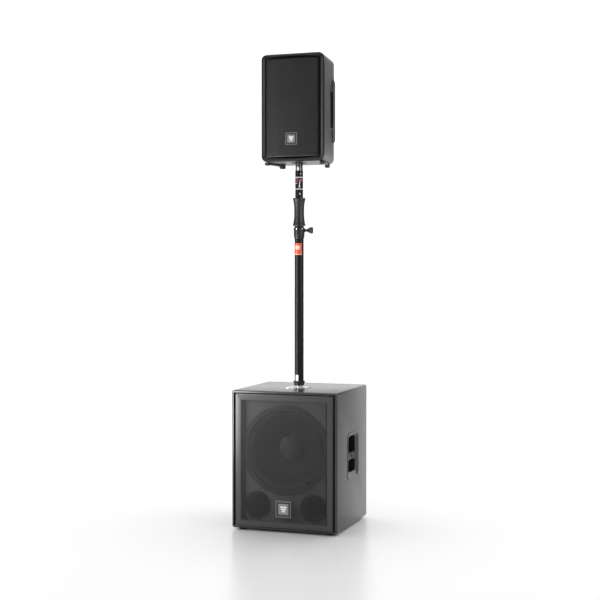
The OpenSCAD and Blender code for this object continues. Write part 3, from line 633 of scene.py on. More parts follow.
def foam_strips():
    """Two strips of near-black foam on the baffle, which keep the grille from rattling; their dark colour also
    paints the shade behind the grille's side borders.
    """
    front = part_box("sub_baffle")[0].y
    low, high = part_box("sub_grille")
    for side, word in ((1, "right"), (-1, "left")):
        plane = (Vector((side * 201 * MM, front, (low.z + high.z) / 2)), X, Z, -Y)
        w, h = 36 * MM, high.z - low.z - 12 * MM
        piece(made(f"sub_foam_strip_{word}", loft, plane, ((w, h, 3 * MM, 0), (w + 1 * MM, h, 3 * MM, 3 * MM),
            (w + 0.6 * MM, h, 3 * MM, 7 * MM), (w - 3 * MM, h - 4 * MM, 3 * MM, 10 * MM))), BODY_SUB,
            "painted_shade_foam_strip")


def top_grille():
    """A curved steel sheet: a plain border, most of which carries painted shade in a darker plastic, and a
    perforated field on the arc that the CAD sheet follows.
    """
    low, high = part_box("top_grille")
    rise = high.y - low.y - 1.5 * MM
    arc_r = (high.x ** 2 + rise ** 2) / (2 * rise)
    rim_w = 2.6 * MM
    w, h = high.x - low.x, high.z - low.z
    cz = (low.z + high.z) / 2

    def front_y(x):
        return low.y + arc_r - sqrt(arc_r * arc_r - x * x)

    edge = []
    loop = rounded_loop(w, h, 9 * MM)
    for a, b in zip(loop, loop[1:] + loop[:1]):
        parts = max(1, round(dist(a, b) / (12 * MM)))
        edge += [(a[0] + (b[0] - a[0]) * i / parts, a[1] + (b[1] - a[1]) * i / parts) for i in range(parts)]
    loops = []
    for inset, back in (*mm((0, 5), (0, 1), (0.4, 0.3), (1, 0)), (rim_w, 0), (rim_w, 1.2 * MM),
            *mm((1.2, 1.4), (1.2, 5))):
        share_x, share_z = 1 - 2 * inset / w, 1 - 2 * inset / h
        loops.append([(x * share_x, front_y(x * share_x) + back, cz + z * share_z) for x, z in edge])
    border = piece(made("top_grille_border", sheath, loops, True), BODY_TOP, "top_grille_steel",
        ("top_grille",))
    # painted shade: all of the border but its bottom edge in the darker plastic, for the shade in the gap round
    # the grille
    shade_inside(border, "painted_shade_plastic", lambda at: at.z > low.z + 6 * MM)
    inset = rim_w - 1.2 * MM
    region = ((low.x + inset, low.z + inset), (high.x - inset, high.z - inset))
    mesh = perforated("top_grille_mesh", region, 5.0 * MM, 3.9 * MM, 1.0 * MM,
        lambda x, z: front_y(x) + 0.8 * MM)
    piece(mesh, BODY_TOP, "top_grille_steel")
    loops = []
    reach_x, reach_z = high.x - 5 * MM, (h - 10 * MM) / 2
    for i in range(33):
        x = reach_x * (i / 16 - 1)
        near, far = front_y(x) + 1.6 * MM, front_y(x) + 3.6 * MM
        loops.append(
            [(x, y, cz + z) for y, z in ((near, -reach_z), (far, -reach_z), (far, reach_z), (near, reach_z))])
    piece(made("top_grille_foam", sheath, loops), BODY_TOP, "acoustic_foam")


def badge(node, body):
    """A metal square frame round a dark field, with a small plate that carries three plain bars."""
    low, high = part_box(node)
    size = high.x - low.x
    plane = (Vector((0, high.y, middle(node).z)), X, Z, -Y)
    thick = high.y - low.y
    bar = 0.06 * size
    hole = size - 2 * bar
    rings = [(size, size, 3 * MM, 0), *rims(size, size, 0, thick, (0, 3, -0.4), (0.8, 2.7, 0)),
        *rims(hole, hole, 0, thick, (-0.6, 2, 0), (0, 2, -0.4)), (hole, hole, 2 * MM, 0)]
    piece(made(node + "_frame", closed_loft, plane, rings, 0.005 * MM), body, "badge_metal", (node,))
    piece(made(node + "_field", loft, plane, rims(hole + bar, hole + bar, 0, 0, (0, 2, 0), (0, 2, 0.8))), body,
        "badge_field")
    outer, inner = 0.66 * size, 0.58 * size
    piece(made(node + "_plate", loft, plane, (
        *rims(outer, outer, 0, 0, (0, 2, 0.4), (0, 2, 1.3), (0.8, 1.6, 1.6)),
        *rims(inner, inner, 0, 0, (0, 1.4, 1.6), (0.6, 1.2, 1.2)))), body, "badge_plate")
    bm = bmesh.new()
    for k, length in enumerate((0.4, 0.3, 0.2)):
        at = (0.13 - 0.13 * k) * size
        loft(bm, plane, rims(length * size, 0.085 * size, 0, 0, (0, 0.6, 1), (0, 0.6, 1.5), shift=(0, at)))
    piece(new_object(node + "_bars", bm), body, "label_white")


# ---------- pole socket, feet, ports ----------

def sub_socket():
    low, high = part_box("sub_pole_socket")
    size = high.x - low.x
    top = SUB_HIGH.z
    plane = (pole_point(top), X, Y, Z)
    thick = high.z - top
    plate = made("sub_socket_plate", loft, plane, ((size, size, 8 * MM, 0), (size, size, 8 * MM, thick * 0.5),
        (size - 0.8 * MM, size - 0.8 * MM, 7.6 * MM, thick * 0.85),
        (size - 2.4 * MM, size - 2.4 * MM, 7 * MM, thick)))
    bore = 15.2 * MM
    cut(plate, lathe, pole_point(top - 5 * MM), Z,
        ((bore, 0), (bore, 5 * MM + thick - 1 * MM), (bore + 2 * MM, 6 * MM + thick)), 48)
    piece(plate, BODY_SUB, "socket_metal", ("sub_pole_socket",))
    piece(made("sub_socket_boss", ring_solid, pole_point(0), Z, (
        *around((0, low.z), (8.7, 0), (24, 0), (25, 1)),
        *around((0, top), (25, -0.2), (15.5, -0.2), (15.2, 1), (8.7, 1)))), BODY_SUB, "bare_metal")
    reach = 39 * MM
    for i, (sx, sy) in enumerate(((1, 1), (-1, 1), (-1, -1), (1, -1))):
        screw_head(f"sub_socket_screw_{i}",
            Vector((POLE_X + sx * reach, POLE_Y + sy * reach, high.z - 0.1 * MM)), Z, 4.2 * MM, BODY_SUB)


def sub_feet():
    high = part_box("sub_feet")[1]
    r = 21 * MM
    bm = bmesh.new()
    for sx in (-1, 1):
        for sy in (-1, 1):
            base = Vector((sx * (high.x - r), sy * (high.y - r), 0))
            lathe(bm, base, Z, (*mm((0, 1.2), (5, 1.2), (6, 0.4), (7.5, 0)),
                *around((r, 0), (-4, 0), (-2.4, 0.5), (-1.6, 1.6)), (r, high.z)), 48)
    piece(new_object("sub_foot_pads", bm), BODY_SUB, "rubber_black", ("sub_feet",))


def sub_ports():
    low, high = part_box("sub_ports")
    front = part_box("sub_baffle")[0].y
    cz = (low.z + high.z) / 2
    flare_r = (high.z - low.z) / 2
    cx = high.x - flare_r
    bore = flare_r - 9 * MM
    bm = bmesh.new()
    for side in (-1, 1):
        inside = [(bore + 9 * MM * (1 - sin(a)), -2 * MM + 14 * MM * (1 - cos(a)))
            for a in (0, 0.3, 0.6, 0.9, 1.2, pi / 2)]
        ring_solid(bm, Vector((side * cx, front, cz)), Y, [(flare_r, -0.1 * MM), (flare_r, -1.2 * MM)] + inside
            + around((bore, 0), (0, 146), (3, 148), (3, 0.2)), 72)
    # painted shade: the tubes in the darker plastic, for the shade inside them
    piece(new_object("sub_port_tubes", bm), BODY_SUB, "painted_shade_plastic", ("sub_ports",))


# ---------- driver suspensions ----------------------

DRAWN_R = 195


def driver_place(node):
    """The front plane's middle and the scale of a driver whose CAD is drawn as a 15-inch one."""
    low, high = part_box(node)
    scale = (high.x - low.x) / 2 / (DRAWN_R * MM)
    return Vector((0, low.y + 8 * MM * scale, (low.z + high.z) / 2)), scale


def cone_depth(r):
    """Depth of the CAD cone's front face below the driver's front plane, in the drawn size."""
    outer, inner, shallow, deeper, swell = 157, 39.4, 6, 86, 0.144
    t = (outer - r) / (outer - inner)
    return shallow + deeper * (t + swell * sin(pi * t))


def suspension(name, node, origin, scale, outline, material):
    """A pleated ring between its outer lip and its inner lip, which lies deeper."""
    back = [(r, z + 1.1) for r, z in reversed(outline)]
    profile = [(r * MM * scale, z * MM * scale) for r, z in outline + back]
    ring = piece(made(name, ring_solid, origin, Y, profile, 96), None, material, (node,), 60)
    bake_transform(ring)


def pleats(r0, z0, r1, z1, count, height, steps=10):
    """Points of a pleated slope from one radius and depth to another."""
    points = []
    for i in range(1, count * steps):
        t = i / (count * steps)
        points.append((r0 + (r1 - r0) * t, z0 + (z1 - z0) * t - height * abs(sin(pi * count * t))))
    return points


def drivers():
    """Pleated surrounds for both woofers, and the sub's spider and the dome in its middle."""
    for tag, node, still, moving, count in (("sub", "sub_driver_frame", BODY_SUB, "sub_cone_assembly", 3),
            ("top", "top_driver_frame", BODY_TOP, "top_cone_assembly", 2)):
        origin, scale = driver_place(node)
        inner_z = cone_depth(152) - 1.4
        outline = [(174.6, 4.6), (171.5, 4.6)] + pleats(171.5, 4.6, 153.5, inner_z, count, 9 / count) + [
            (153.5, inner_z), (150.5, cone_depth(150.5) - 1.4)]
        suspension(f"{tag}_surround_pleats", f"{tag}_surround", origin, scale, outline,
            "surround_foam")
    origin, scale = driver_place("sub_driver_frame")
    dome_r, dome_up = 55, 46
    rim = cone_depth(dome_r) + 0.4
    profile = [(dome_r + 3, rim - 1.6), (dome_r + 2, rim - 2.4), (dome_r, rim - 2.6)]
    profile += [(dome_r * cos(a), rim - 2 - dome_up * sin(a))
        for a in (0.08, 0.2, 0.35, 0.5, 0.7, 0.9, 1.1, 1.3, 1.45)]
    dome = made("sub_dome", lathe, origin, Y, [(r * MM * scale, z * MM * scale) for r, z in profile], 72,
        (False, True))
    thicken(dome, 0.8 * MM, 1)
    piece(dome, "sub_cone_assembly", "dome_paper", ("sub_dust_cap",), 60)
    outline = [(89.8, 100.6), (85, 100.6)] + pleats(85, 100.6, 43, 103.4, 6, 1.8) + [(43, 103.4), (39.6, 103.4)]
    suspension("sub_spider_pleats", "sub_spider", origin, scale, outline,
        "woven_fabric")


# ---------- pole ----------

def pole_point(z):
    return Vector((POLE_X, POLE_Y, z))


def pole_ring():
    """The knurled ring that locks the pole in its socket."""
    low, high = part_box("pole_lock_ring")
    body_r, flange_r, bore = 22 * MM, (high.x - low.x) / 2, 18 * MM
    step_z = low.z + 12 * MM
    ridges, per = 40, 4
    loops = []
    for r_in, r_out, z in ((bore, 0, low.z), (0, body_r - 1.5 * MM, low.z), (0, body_r, low.z + 1.2 * MM),
            (0, body_r, step_z), (1, flange_r - 0.8 * MM, step_z + 0.2 * MM), (1, flange_r, step_z + 1.2 * MM),
            (1, flange_r, high.z - 1.2 * MM), (1, flange_r - 1.0 * MM, high.z), (bore, 0, high.z)):
        loop = []
        for i in range(ridges * per):
            a = tau * i / (ridges * per)
            r = r_in if r_out == 0 else r_out
            if r_in == 1:
                r -= 0.7 * MM * (0.5 - 0.5 * cos(a * ridges))
            loop.append(pole_point(z) + X * (r * cos(a)) + Y * (r * sin(a)))
        loops.append(loop)
    piece(made("pole_knurled_ring", sheath, loops, True), BODY_SUB, "black_plastic", ("pole_lock_ring",), 50)


def pole_collar():
    """The clamp collar with its boss, its two rivets and the sleeve that carries the grip."""
    low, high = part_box("pole_clamp_collar")
    z0, z1 = low.z, low.z + 52 * MM
    r0, r1 = mm(21, 24)
    sleeve_r, bore_low, bore_high = mm(20, 20.05, 18)
    step_z = low.z + 27.1 * MM
    collar = made("pole_collar", ring_solid, pole_point(0), Z, ((bore_low, z0),
        *around((r0, z0), (-0.5, 0), (0, 0.8), (0.9, 5)), (22.8 * MM, z0 + 9 * MM), (23.6 * MM, z0 + 16 * MM),
        (r1, z0 + 24 * MM), *around((r1, z1), (0, -5), (-0.3, -2.2), (-1.2, -0.8), (-2.6, 0)), (sleeve_r, z1),
        (sleeve_r, high.z), (bore_high, high.z), (bore_high, step_z), (bore_low, step_z)), 72)
    knob_z = middle("pole_wing_knob").z
    boss = made("pole_collar_boss", lathe, pole_point(knob_z) + X * (r1 - 3 * MM), X,
        mm((9, 0), (8.6, 4), (8, 7), (6.6, 8), (3.3, 8), (3.3, 0)), 36)
    piece(boss, BODY_SUB, "black_plastic")
    piece(collar, BODY_SUB, "black_plastic", ("pole_clamp_collar",))
    for i, angle in enumerate((-101, -32)):
        out = Matrix.Rotation(radians(angle), 3, "Z") @ X
        screw_head(f"pole_collar_rivet_{i}", pole_point(knob_z + 7 * MM) + out * (r1 - 0.6 * MM), out, 3.6 * MM,
            BODY_SUB, 1.4 * MM)


def pole_wing():
    """The wing screw: a hub and a fan-shaped grip, thinner in its middle."""
    low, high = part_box("pole_wing_knob")
    knob_z = (low.z + high.z) / 2
    tip = high.x - POLE_X
    base = pole_point(knob_z)
    piece(made("pole_wing_screw", lathe, base, X, (*around((0, low.x), (0, 0), (2.2, 0), (3, 1)),
        *mm((3, 31), (5.2, 31.6), (5.6, 33), (5.4, 41), (4, 43), (0, 44))), 32), "wing_knob", "black_plastic",
        ("pole_wing_knob",))
    stations, start = 12, 33 * MM
    loops = []
    for i in range(stations + 1):
        t = i / stations
        x = start + (tip - start) * t
        half_h = (5 + 10 * sin(min(1, t * 1.15) * pi / 2) ** 1.4) * MM
        if t > 0.86:
            half_h *= 1 - 0.35 * ((t - 0.86) / 0.14) ** 2
        half_t = (3.9 - 1.3 * sin(t * pi)) * MM * (1 if t < 0.93 else 0.75)
        loops.append(
            [base + X * x + Z * z + Y * y for z, y in rounded_loop(2 * half_h, 2 * half_t, half_t * 0.9, 4)])
    wing = made("pole_wing_fan", sheath, loops)
    smooth = wing.modifiers.new("smooth", "SUBSURF")
    smooth.levels = smooth.render_levels = 1
    piece(wing, "wing_knob", "black_plastic", smooth=60)


def pole_grip():
    """The waisted hand grip, with a lip and fine ribs at each end."""
    low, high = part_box("pole_hand_grip")
    r_end, r_mid, bore = (high.x - low.x) / 2, 22 * MM, 20.1 * MM
    mid, half = (low.z + high.z) / 2, (high.z - low.z) / 2
    outside = []
    steps = 44
    for i in range(steps + 1):
        t = 2 * i / steps - 1
        r = r_mid + (r_end - 0.4 * MM - r_mid) * abs(t) ** 2.2
        if 0.3 < abs(t) < 0.86 and i % 2:
            r -= 0.5 * MM
        if abs(t) > 0.96:
            r -= 1.2 * MM
        outside.append((r, mid + half * t))
    piece(made("pole_grip", ring_solid, pole_point(0), Z, [(bore, low.z)] + outside + [(bore, high.z)], 72),
        BODY_SUB, "grip_rubber", ("pole_hand_grip",), 60)


def wrap(bm, r, z0, z1, a0, a1, thick=0.12 * MM):
    """A thin curved patch on the pole between two heights and two angles, in degrees from +X."""
    steps = max(2, round((a1 - a0) / 6))
    loops = []
    for z in (z0, z1):
        ring = []
        for i in range(steps + 1):
            a = radians(a0 + (a1 - a0) * i / steps)
            ring.append((cos(a), sin(a)))
        loops.append([pole_point(z) + X * (r * x) + Y * (r * y) for x, y in ring]
            + [pole_point(z) + X * ((r + thick) * x) + Y * ((r + thick) * y) for x, y in reversed(ring)])
    sheath(bm, loops)


def spot(bm, r, z, angle, dot_r, stretch=1.0, thick=0.12 * MM):
    """A round printed mark on the pole."""
    loops = []
    for lift in (0, thick):
        loop = []
        for i in range(16):
            t = tau * i / 16
            a = radians(angle) + dot_r * cos(t) / r
            height = z + dot_r * stretch * sin(t)
            loop.append(pole_point(height) + X * ((r + lift) * cos(a)) + Y * ((r + lift) * sin(a)))
        loops.append(loop)
    sheath(bm, loops)


def pole_prints():
    """The label on the lower tube and the bands and marks on the upper one, all without lettering, and two
    white patches as painted highlights, low on the pole and on the spigot.
    """
    low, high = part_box("pole_label")
    r = (high.x - low.x) / 2 - 0.16 * MM
    piece(made("pole_label_film", wrap, r, low.z + 1.5 * MM, high.z - 1.5 * MM, -330, -35, 0.14 * MM), BODY_SUB,
        "label_orange", ("pole_label",))
    r += 0.14 * MM
    piece(made("pole_label_band", wrap, r, low.z + 7 * MM, low.z + 17 * MM, -328, -37, 0.05 * MM), BODY_SUB,
        "label_amber")
    bm = bmesh.new()
    wrap(bm, r, low.z + 26 * MM, low.z + 43 * MM, -124, -62, 0.08 * MM)
    wrap(bm, r, low.z + 3 * MM, low.z + 5.5 * MM, -328, -37, 0.05 * MM)
    piece(new_object("pole_label_marks", bm), BODY_SUB, "label_pink")
    # painted highlight: a white patch low on the pole, in place of the key light's glint on the glossy tube
    piece(made("pole_foot_painted_highlight", wrap, 20 * MM, 637 * MM, 664 * MM, -118, -80), BODY_SUB, "label_white")
    tube_low, tube_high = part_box("pole_upper_tube")
    r, top = (tube_high.x - tube_low.x) / 2, tube_high.z
    white, rose, red = bmesh.new(), bmesh.new(), bmesh.new()
    ring_solid(white, pole_point(top - 82 * MM), Z,
        around((r, 0), (-0.05, 0), (0.1, 0), (0.1, 3.2), (-0.05, 3.2)), 72)
    spot(white, r, top - 13 * MM, -49, 3 * MM)
    spot(white, r, top - 102 * MM, -62, 3 * MM, 1.4)
    spot(white, r, top - 70 * MM, -68, 3.4 * MM)
    wrap(white, r, top - 72 * MM, top - 54 * MM, -72, -60)
    wrap(white, r, top - 57 * MM, top - 54.5 * MM, -132, -100)
    ring_solid(white, pole_point(top - 31 * MM), Z,
        around((r, 0), (-0.05, 0), (0.1, 0), (0.1, 3.2), (-0.05, 3.2)), 72)
    wrap(rose, r, top - 54 * MM, top - 39 * MM, -72, -54)
    spot(rose, r, top - 43 * MM, -50, 4.6 * MM, 1.3)
    wrap(red, r, top - 51 * MM, top - 33 * MM, -165, -88)
    wrap(red, r, top - 48 * MM, top - 33 * MM, -44, 40)
    for name, material, bm in (("pole_height_marks", "label_white", white),
            ("pole_limit_marks", "label_rose", rose), ("pole_limit_band", "label_red", red)):
        piece(new_object(name, bm), "pole_upper_section", material)
    # painted highlight: a white patch on the spigot, in place of its glint
    piece(made("pole_spigot_painted_highlight", wrap, 16 * MM, top + 1 * MM, top + 17 * MM, -111, -75),
        "pole_upper_section", "label_white")


# ---------- top speaker ----------

TOP_LOW, TOP_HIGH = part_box("top_front_shell")
SEAM_Y = TOP_HIGH.y
TOP_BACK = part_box("top_rear_shell")[1].y
TOP_W = TOP_HIGH.x - TOP_LOW.x
TOP_H = TOP_HIGH.z - TOP_LOW.z
TOP_Z = (TOP_LOW.z + TOP_HIGH.z) / 2
TOP_BACK_W = 240 * MM
TOP_R = 25 * MM
BEZEL = 19 * MM
TAPER = atan((TOP_W - TOP_BACK_W) / 2 / (TOP_BACK - SEAM_Y))


def top_front():
    """The front moulding: a soft outer edge, a flat bezel and a step down to the grille, which carries painted
    shade except along the bottom.
    """
    plane = (Vector((0, SEAM_Y, TOP_Z)), X, Z, -Y)
    deep = SEAM_Y - TOP_LOW.y
    frame_w, frame_h = TOP_W - 5 * MM, TOP_H - 5 * MM
    roll_w, roll_d = mm(8, 8)
    rings = rims(frame_w, frame_h, TOP_R, 0, (22, -14, 1), (7, -6, 1), (7, -6, 12.4), (0.8, -4, 13))
    for a in (0, 0.2, 0.4, 0.6, 0.8, 1.0, 1.2, 1.4, pi / 2):
        inset = roll_w * (1 - cos(a))
        rings.append((frame_w - 2 * inset, frame_h - 2 * inset, TOP_R - 4 * MM - inset * 0.5,
            deep - roll_d * (1 - sin(a))))
    inner_w, inner_h = TOP_W - 2 * BEZEL, TOP_H - 2 * BEZEL
    crown_w, crown_h = inner_w + 15 * MM, inner_h + 15 * MM
    rings += [*rims(crown_w, crown_h, 0, deep, (0, 16, -0.2), (1.6, 15, -1)),
        *rims(inner_w, inner_h, 0, deep, (-2, 11, -6), (0, 10, -7.5))]
    rings += [*rims(inner_w, inner_h, 0, deep, (1, 10, -15.5), (8, 8, -16)),
        (inner_w - 8 * MM, inner_h - 8 * MM, 8 * MM, 1 * MM)]
    bezel = piece(made("top_bezel", closed_loft, plane, rings, 0.005 * MM, steps=8), BODY_TOP, "bezel_plastic",
        ("top_front_shell",), 50)
    # painted shade: the step down to the grille in black plastic, except along the bottom
    shade_inside(bezel, "black_plastic",
        lambda at: abs(at.x) < crown_w / 2 - 0.5 * MM and -inner_h / 2 < at.z - TOP_Z < crown_h / 2 - 0.5 * MM)
    w, h = inner_w - 6 * MM, inner_h - 6 * MM
    board = made("top_baffle", loft, plane, rims(w, h, 0, 0, (0, 8, 0.5), (0, 8, 6)))
    frame_low, frame_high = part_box("top_driver_frame")
    hole_r = 94 * MM
    cut(board, lathe, Vector((0, SEAM_Y - 10 * MM, (frame_low.z + frame_high.z) / 2)), Y,
        ((hole_r, 0), (hole_r, 20 * MM)), 72)
    horn_low, horn_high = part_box("top_horn")
    margin = 9 * MM
    cut(board, loft, (Vector((0, SEAM_Y, (horn_low.z + horn_high.z) / 2)), X, Z, -Y),
        rims(horn_high.x - horn_low.x - margin, horn_high.z - horn_low.z - margin, 0, 0, (0, 20, -10),
        (0, 20, 20)))
    piece(board, BODY_TOP, "baffle_paint")


def rear_rings(inset, start, steps=6):
    """Rounded sections of the rear shell from the seam to its back, inset all round."""
    rings = []
    tail = 16 * MM
    length = TOP_BACK - SEAM_Y
    for i in range(steps + 1):
        y = start + (length - tail - start) * i / steps
        w = TOP_W - (TOP_W - TOP_BACK_W) * y / length
        rings.append((w - 2 * inset, TOP_H - 2 * inset, TOP_R - inset, y))
    w_tail = rings[-1][0] + 2 * inset
    for a in (0.3, 0.6, 0.9, 1.2, pi / 2):
        pull = tail * (1 - cos(a)) + inset
        rings.append((w_tail - 2 * pull - 1.5 * MM * sin(a), TOP_H - 2 * pull, TOP_R - 0.4 * pull,
            length - tail + (tail - inset) * sin(a)))
    return rings


def top_rear():
    """The rear moulding: tapered sides and soft back corners, open for the grips, the tray and the pole."""
    plane = (Vector((0, SEAM_Y, TOP_Z)), X, Z, Y)
    lead = rims(TOP_W, TOP_H, TOP_R, 0, (4.6, -3, -3), (4.4, -3, -9.8), (3.6, -2, -10.6), (2.2, -1, -10.6),
        (0.8, 0, -9.6), (0, 0, -7), (0, 0, 0))
    shell = made("top_rear_cover", loft, plane, lead + rear_rings(0, 3.5 * MM), steps=8)
    cut(shell, loft, plane, rims(TOP_W, TOP_H, 0, 0, (28, 14, -12), (28, 14, 4)) + rear_rings(4 * MM, 6 * MM),
        steps=8)
    low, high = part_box("top_amp_plate")
    cut(shell, block, (low.x + TRAY_RIM, TOP_BACK - 20 * MM, low.z + TRAY_RIM),
        (high.x - TRAY_RIM, TOP_BACK + 9 * MM, high.z - TRAY_RIM))
    cut(shell, lathe, pole_point(TOP_LOW.z - 9 * MM), Z, mm((21.9, 0), (21.9, 25)), 48)
    for side in (-1, 1):
        window = (SLOT_W + 4 * MM, SLOT_H + 4 * MM, 10 * MM)
        cut(shell, loft, grip_plane(side), ((*window, -16 * MM), (*window, 3 * MM)))
        for z, out in ((TOP_LOW.z, -Z), (TOP_HIGH.z, Z)):
            if side > 0 or z == TOP_LOW.z:
                x = side * 80 * MM if z == TOP_LOW.z else 0
                cut(shell, lathe, Vector((x, 30 * MM, z)) - out * 16 * MM, out,
                    mm((4.25, 0), (4.25, 15), (5.5, 17)), 24)
    piece(shell, BODY_TOP, "shell_plastic", ("top_rear_shell",), 50)


SLOT_W, SLOT_H = mm(51, 163)
SLOT_Y, SLOT_Z = mm(58.5, 1837.5)
GRIP_Y, GRIP_W, GRIP_H, GRIP_UP = mm(92, 16, 292, 7)


def grip_plane(side):
    """The tapered side of the rear shell, centred on the finger slot: u runs back, v up, n outward."""
    back = Vector((-sin(TAPER) * side, cos(TAPER), 0))
    out = Vector((cos(TAPER) * side, sin(TAPER), 0))
    corner = Vector((TOP_W / 2 * side, SEAM_Y, SLOT_Z))
    return corner + back * (SLOT_Y - SEAM_Y), back, Z, out


def top_grips():
    """A deep finger slot on each side, with painted shade inside it, and the raised bar behind it."""
    for side, word in ((1, "right"), (-1, "left")):
        plane = origin, back, up, out = grip_plane(side)
        flange_w, flange_h = SLOT_W + 10 * MM, SLOT_H + 10 * MM
        rings = [*rims(flange_w, flange_h, 0, 0, (3, 12, -1), (0, 13, 0.1), (0, 13, 0.7), (1.2, 12.4, 1.15)),
            *rims(SLOT_W, SLOT_H, 0, 0, (-3, 10.5, 1.2), (-0.8, 9.4, 0.5), (0, 9, -1), (3, 8, -22), (8, 7, -27),
            (16, 6, -28.6))]
        cup = made(f"top_grip_{word}", loft, plane, rings, ends=(False, True), steps=8)
        thicken(cup, 1.5 * MM, -1)
        piece(cup, BODY_TOP, "shell_plastic", ("top_handles",) if side > 0 else (), 50)
        # painted shade: the inside of the finger slot in the darker plastic
        shade_inside(cup, "painted_shade_plastic", lambda at: (at - origin).dot(out) < -1.2 * MM)
        foot = Vector((origin.x, origin.y, middle("top_handles").z - GRIP_H / 2)) + back * (GRIP_Y - SLOT_Y)
        loops = []
        for i in range(31):
            t = i / 30
            ramp = min(1, t * GRIP_H / (12 * MM), (1 - t) * GRIP_H / (28 * MM))
            height = GRIP_UP * (0.5 - 0.5 * cos(ramp * pi))
            hump = [(share, height * (1 - abs(share) ** 2.6))
                for share in (-1, -0.93, -0.8, -0.6, -0.35, 0, 0.35, 0.6, 0.8, 0.93, 1)]
            section = [(-1, -0.3 * MM)] + hump + [(1, -0.3 * MM)]
            loops.append([foot + up * (GRIP_H * t) + back * (GRIP_W / 2 * share) + out * rise
                for share, rise in section])
        piece(made(f"top_grip_bar_{word}", sheath, loops), BODY_TOP, "shell_plastic", (), 50)


def top_feet():
    """Two rails under the cabinet that follow its taper, with a thick pad at each end."""
    bm_rail, bm_pad = bmesh.new(), bmesh.new()
    for side in (-1, 1):
        start = Vector((side * 128 * MM, TOP_LOW.y + 30 * MM, TOP_LOW.z))
        end = Vector((side * 103 * MM, TOP_LOW.y + 195 * MM, TOP_LOW.z))
        along = (end - start).normalized()
        across = Z.cross(along)
        length = (end - start).length
        plane = (start, along, across, -Z)
        loft(bm_rail, plane, ((length - 2 * MM, 14 * MM, 5 * MM, -0.5 * MM, length / 2, 0),
            (length - 2 * MM, 14 * MM, 5 * MM, 7 * MM, length / 2, 0),
            (length - 5 * MM, 11 * MM, 4 * MM, 9 * MM, length / 2, 0)))
        for at, long, deep in (mm(12, 24, 12), (length - 16 * MM, 32 * MM, 17 * MM)):
            pad = [(long, 20 * MM, 7 * MM, 0), (long, 20 * MM, 7 * MM, deep - 4 * MM),
                (long - 1.5 * MM, 18.5 * MM, 6.4 * MM, deep - 1.2 * MM), (long - 5 * MM, 15 * MM, 5 * MM, deep)]
            loft(bm_pad, plane, [(*ring, at, 0) for ring in pad])
    piece(new_object("top_foot_bars", bm_rail), BODY_TOP, "shell_plastic", ("top_foot_rails",))
    piece(new_object("top_foot_pads", bm_pad), BODY_TOP, "rubber_black")


def top_cup():
    """The mouth of the pole cup: a flanged, chamfered ring under the cabinet."""
    low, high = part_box("top_pole_cup")
    bore = 17.5 * MM
    wall = 22 * MM
    flange = (high.x - low.x) / 2
    piece(made("top_cup_ring", ring_solid, pole_point(0), Z, ((bore + 2 * MM, low.z), (flange - 1 * MM, low.z),
        (flange, low.z + 0.8 * MM), (flange, TOP_LOW.z), (wall - 0.2 * MM, TOP_LOW.z),
        (wall - 0.2 * MM, high.z - 7 * MM), (bore, high.z - 7 * MM), (bore, low.z + 4 * MM)), 72), BODY_TOP,
        "black_plastic", ("top_pole_cup",))
    piece(made("top_cup_end", lathe, pole_point(high.z - 6 * MM), Z,
        around((wall, 0), (-0.2, -1), (-0.2, 4), (-2, 6)), 48), BODY_TOP, "black_plastic")


def top_horn():
    """A waveguide that runs from a rounded rectangle to its round throat."""
    low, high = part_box("top_horn")
    w, h = high.x - low.x, high.z - low.z
    deep = high.y - low.y - 3 * MM
    plane = (Vector((0, low.y + 3 * MM, (low.z + high.z) / 2)), X, Z, Y)
    throat = 25 * MM
    rings = []
    for i in range(13):
        t = i / 12
        open_t = (1 - t) ** 1.7
        ring_w = throat + (w - 22 * MM - throat) * open_t
        ring_h = throat + (h - 22 * MM - throat) * open_t
        corner = min(ring_w, ring_h) / 2 * (0.3 + 0.7 * t)
        rings.append((ring_w, ring_h, corner, (deep - 1 * MM) * t))
    mouth = rims(w, h, 0, 0, (2, 10, -0.4), (0, 10, -1), (0, 10, -2), (2, 10, -2.8), (14, 16, -2.8))
    horn = made("top_waveguide", loft, plane, mouth + rings, ends=(False, False), steps=8)
    thicken(horn, 2 * MM, 1)
    piece(horn, BODY_TOP, "black_plastic", ("top_horn",), 50)


# ---------- amplifier trays ----------

TRAY_DEEP = 15 * MM
TRAY_FLOOR = -13 * MM


def tray(node, body, name):
    """A dished panel: a thin flange on the cabinet's back and a recess that holds the controls."""
    low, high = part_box(node)
    w, h = high.x - low.x, high.z - low.z
    plane = (Vector(((low.x + high.x) / 2, high.y - 2 * MM, (low.z + high.z) / 2)), -X, Z, Y)
    inner_w, inner_h = w - 2 * TRAY_RIM, h - 2 * TRAY_RIM
    rings = [(inner_w - 1 * MM, inner_h - 1 * MM, 4 * MM, -TRAY_DEEP),
        (inner_w - 1 * MM, inner_h - 1 * MM, 4 * MM, -0.2 * MM),
        *rims(w, h, 0, 0, (1, 5, 0), (0, 5, 0.6), (0, 5, 1.4), (1.4, 4.5, 2)),
        *rims(inner_w, inner_h, 0, 0, (2, 5, 2), (4, 5, 0.8)),
        *rims(inner_w, inner_h, 0, TRAY_FLOOR, (7, 5, 2), (11, 5, 0)),]
    piece(made(name, loft, plane, rings), body, "amp_metal", (node,))
    return plane


def on_floor(plane, at):
    """A point on a tray's floor from the CAD's own [x, z] place on it."""
    return plane[0] + X * at[0] + Z * at[1] + plane[3] * TRAY_FLOOR


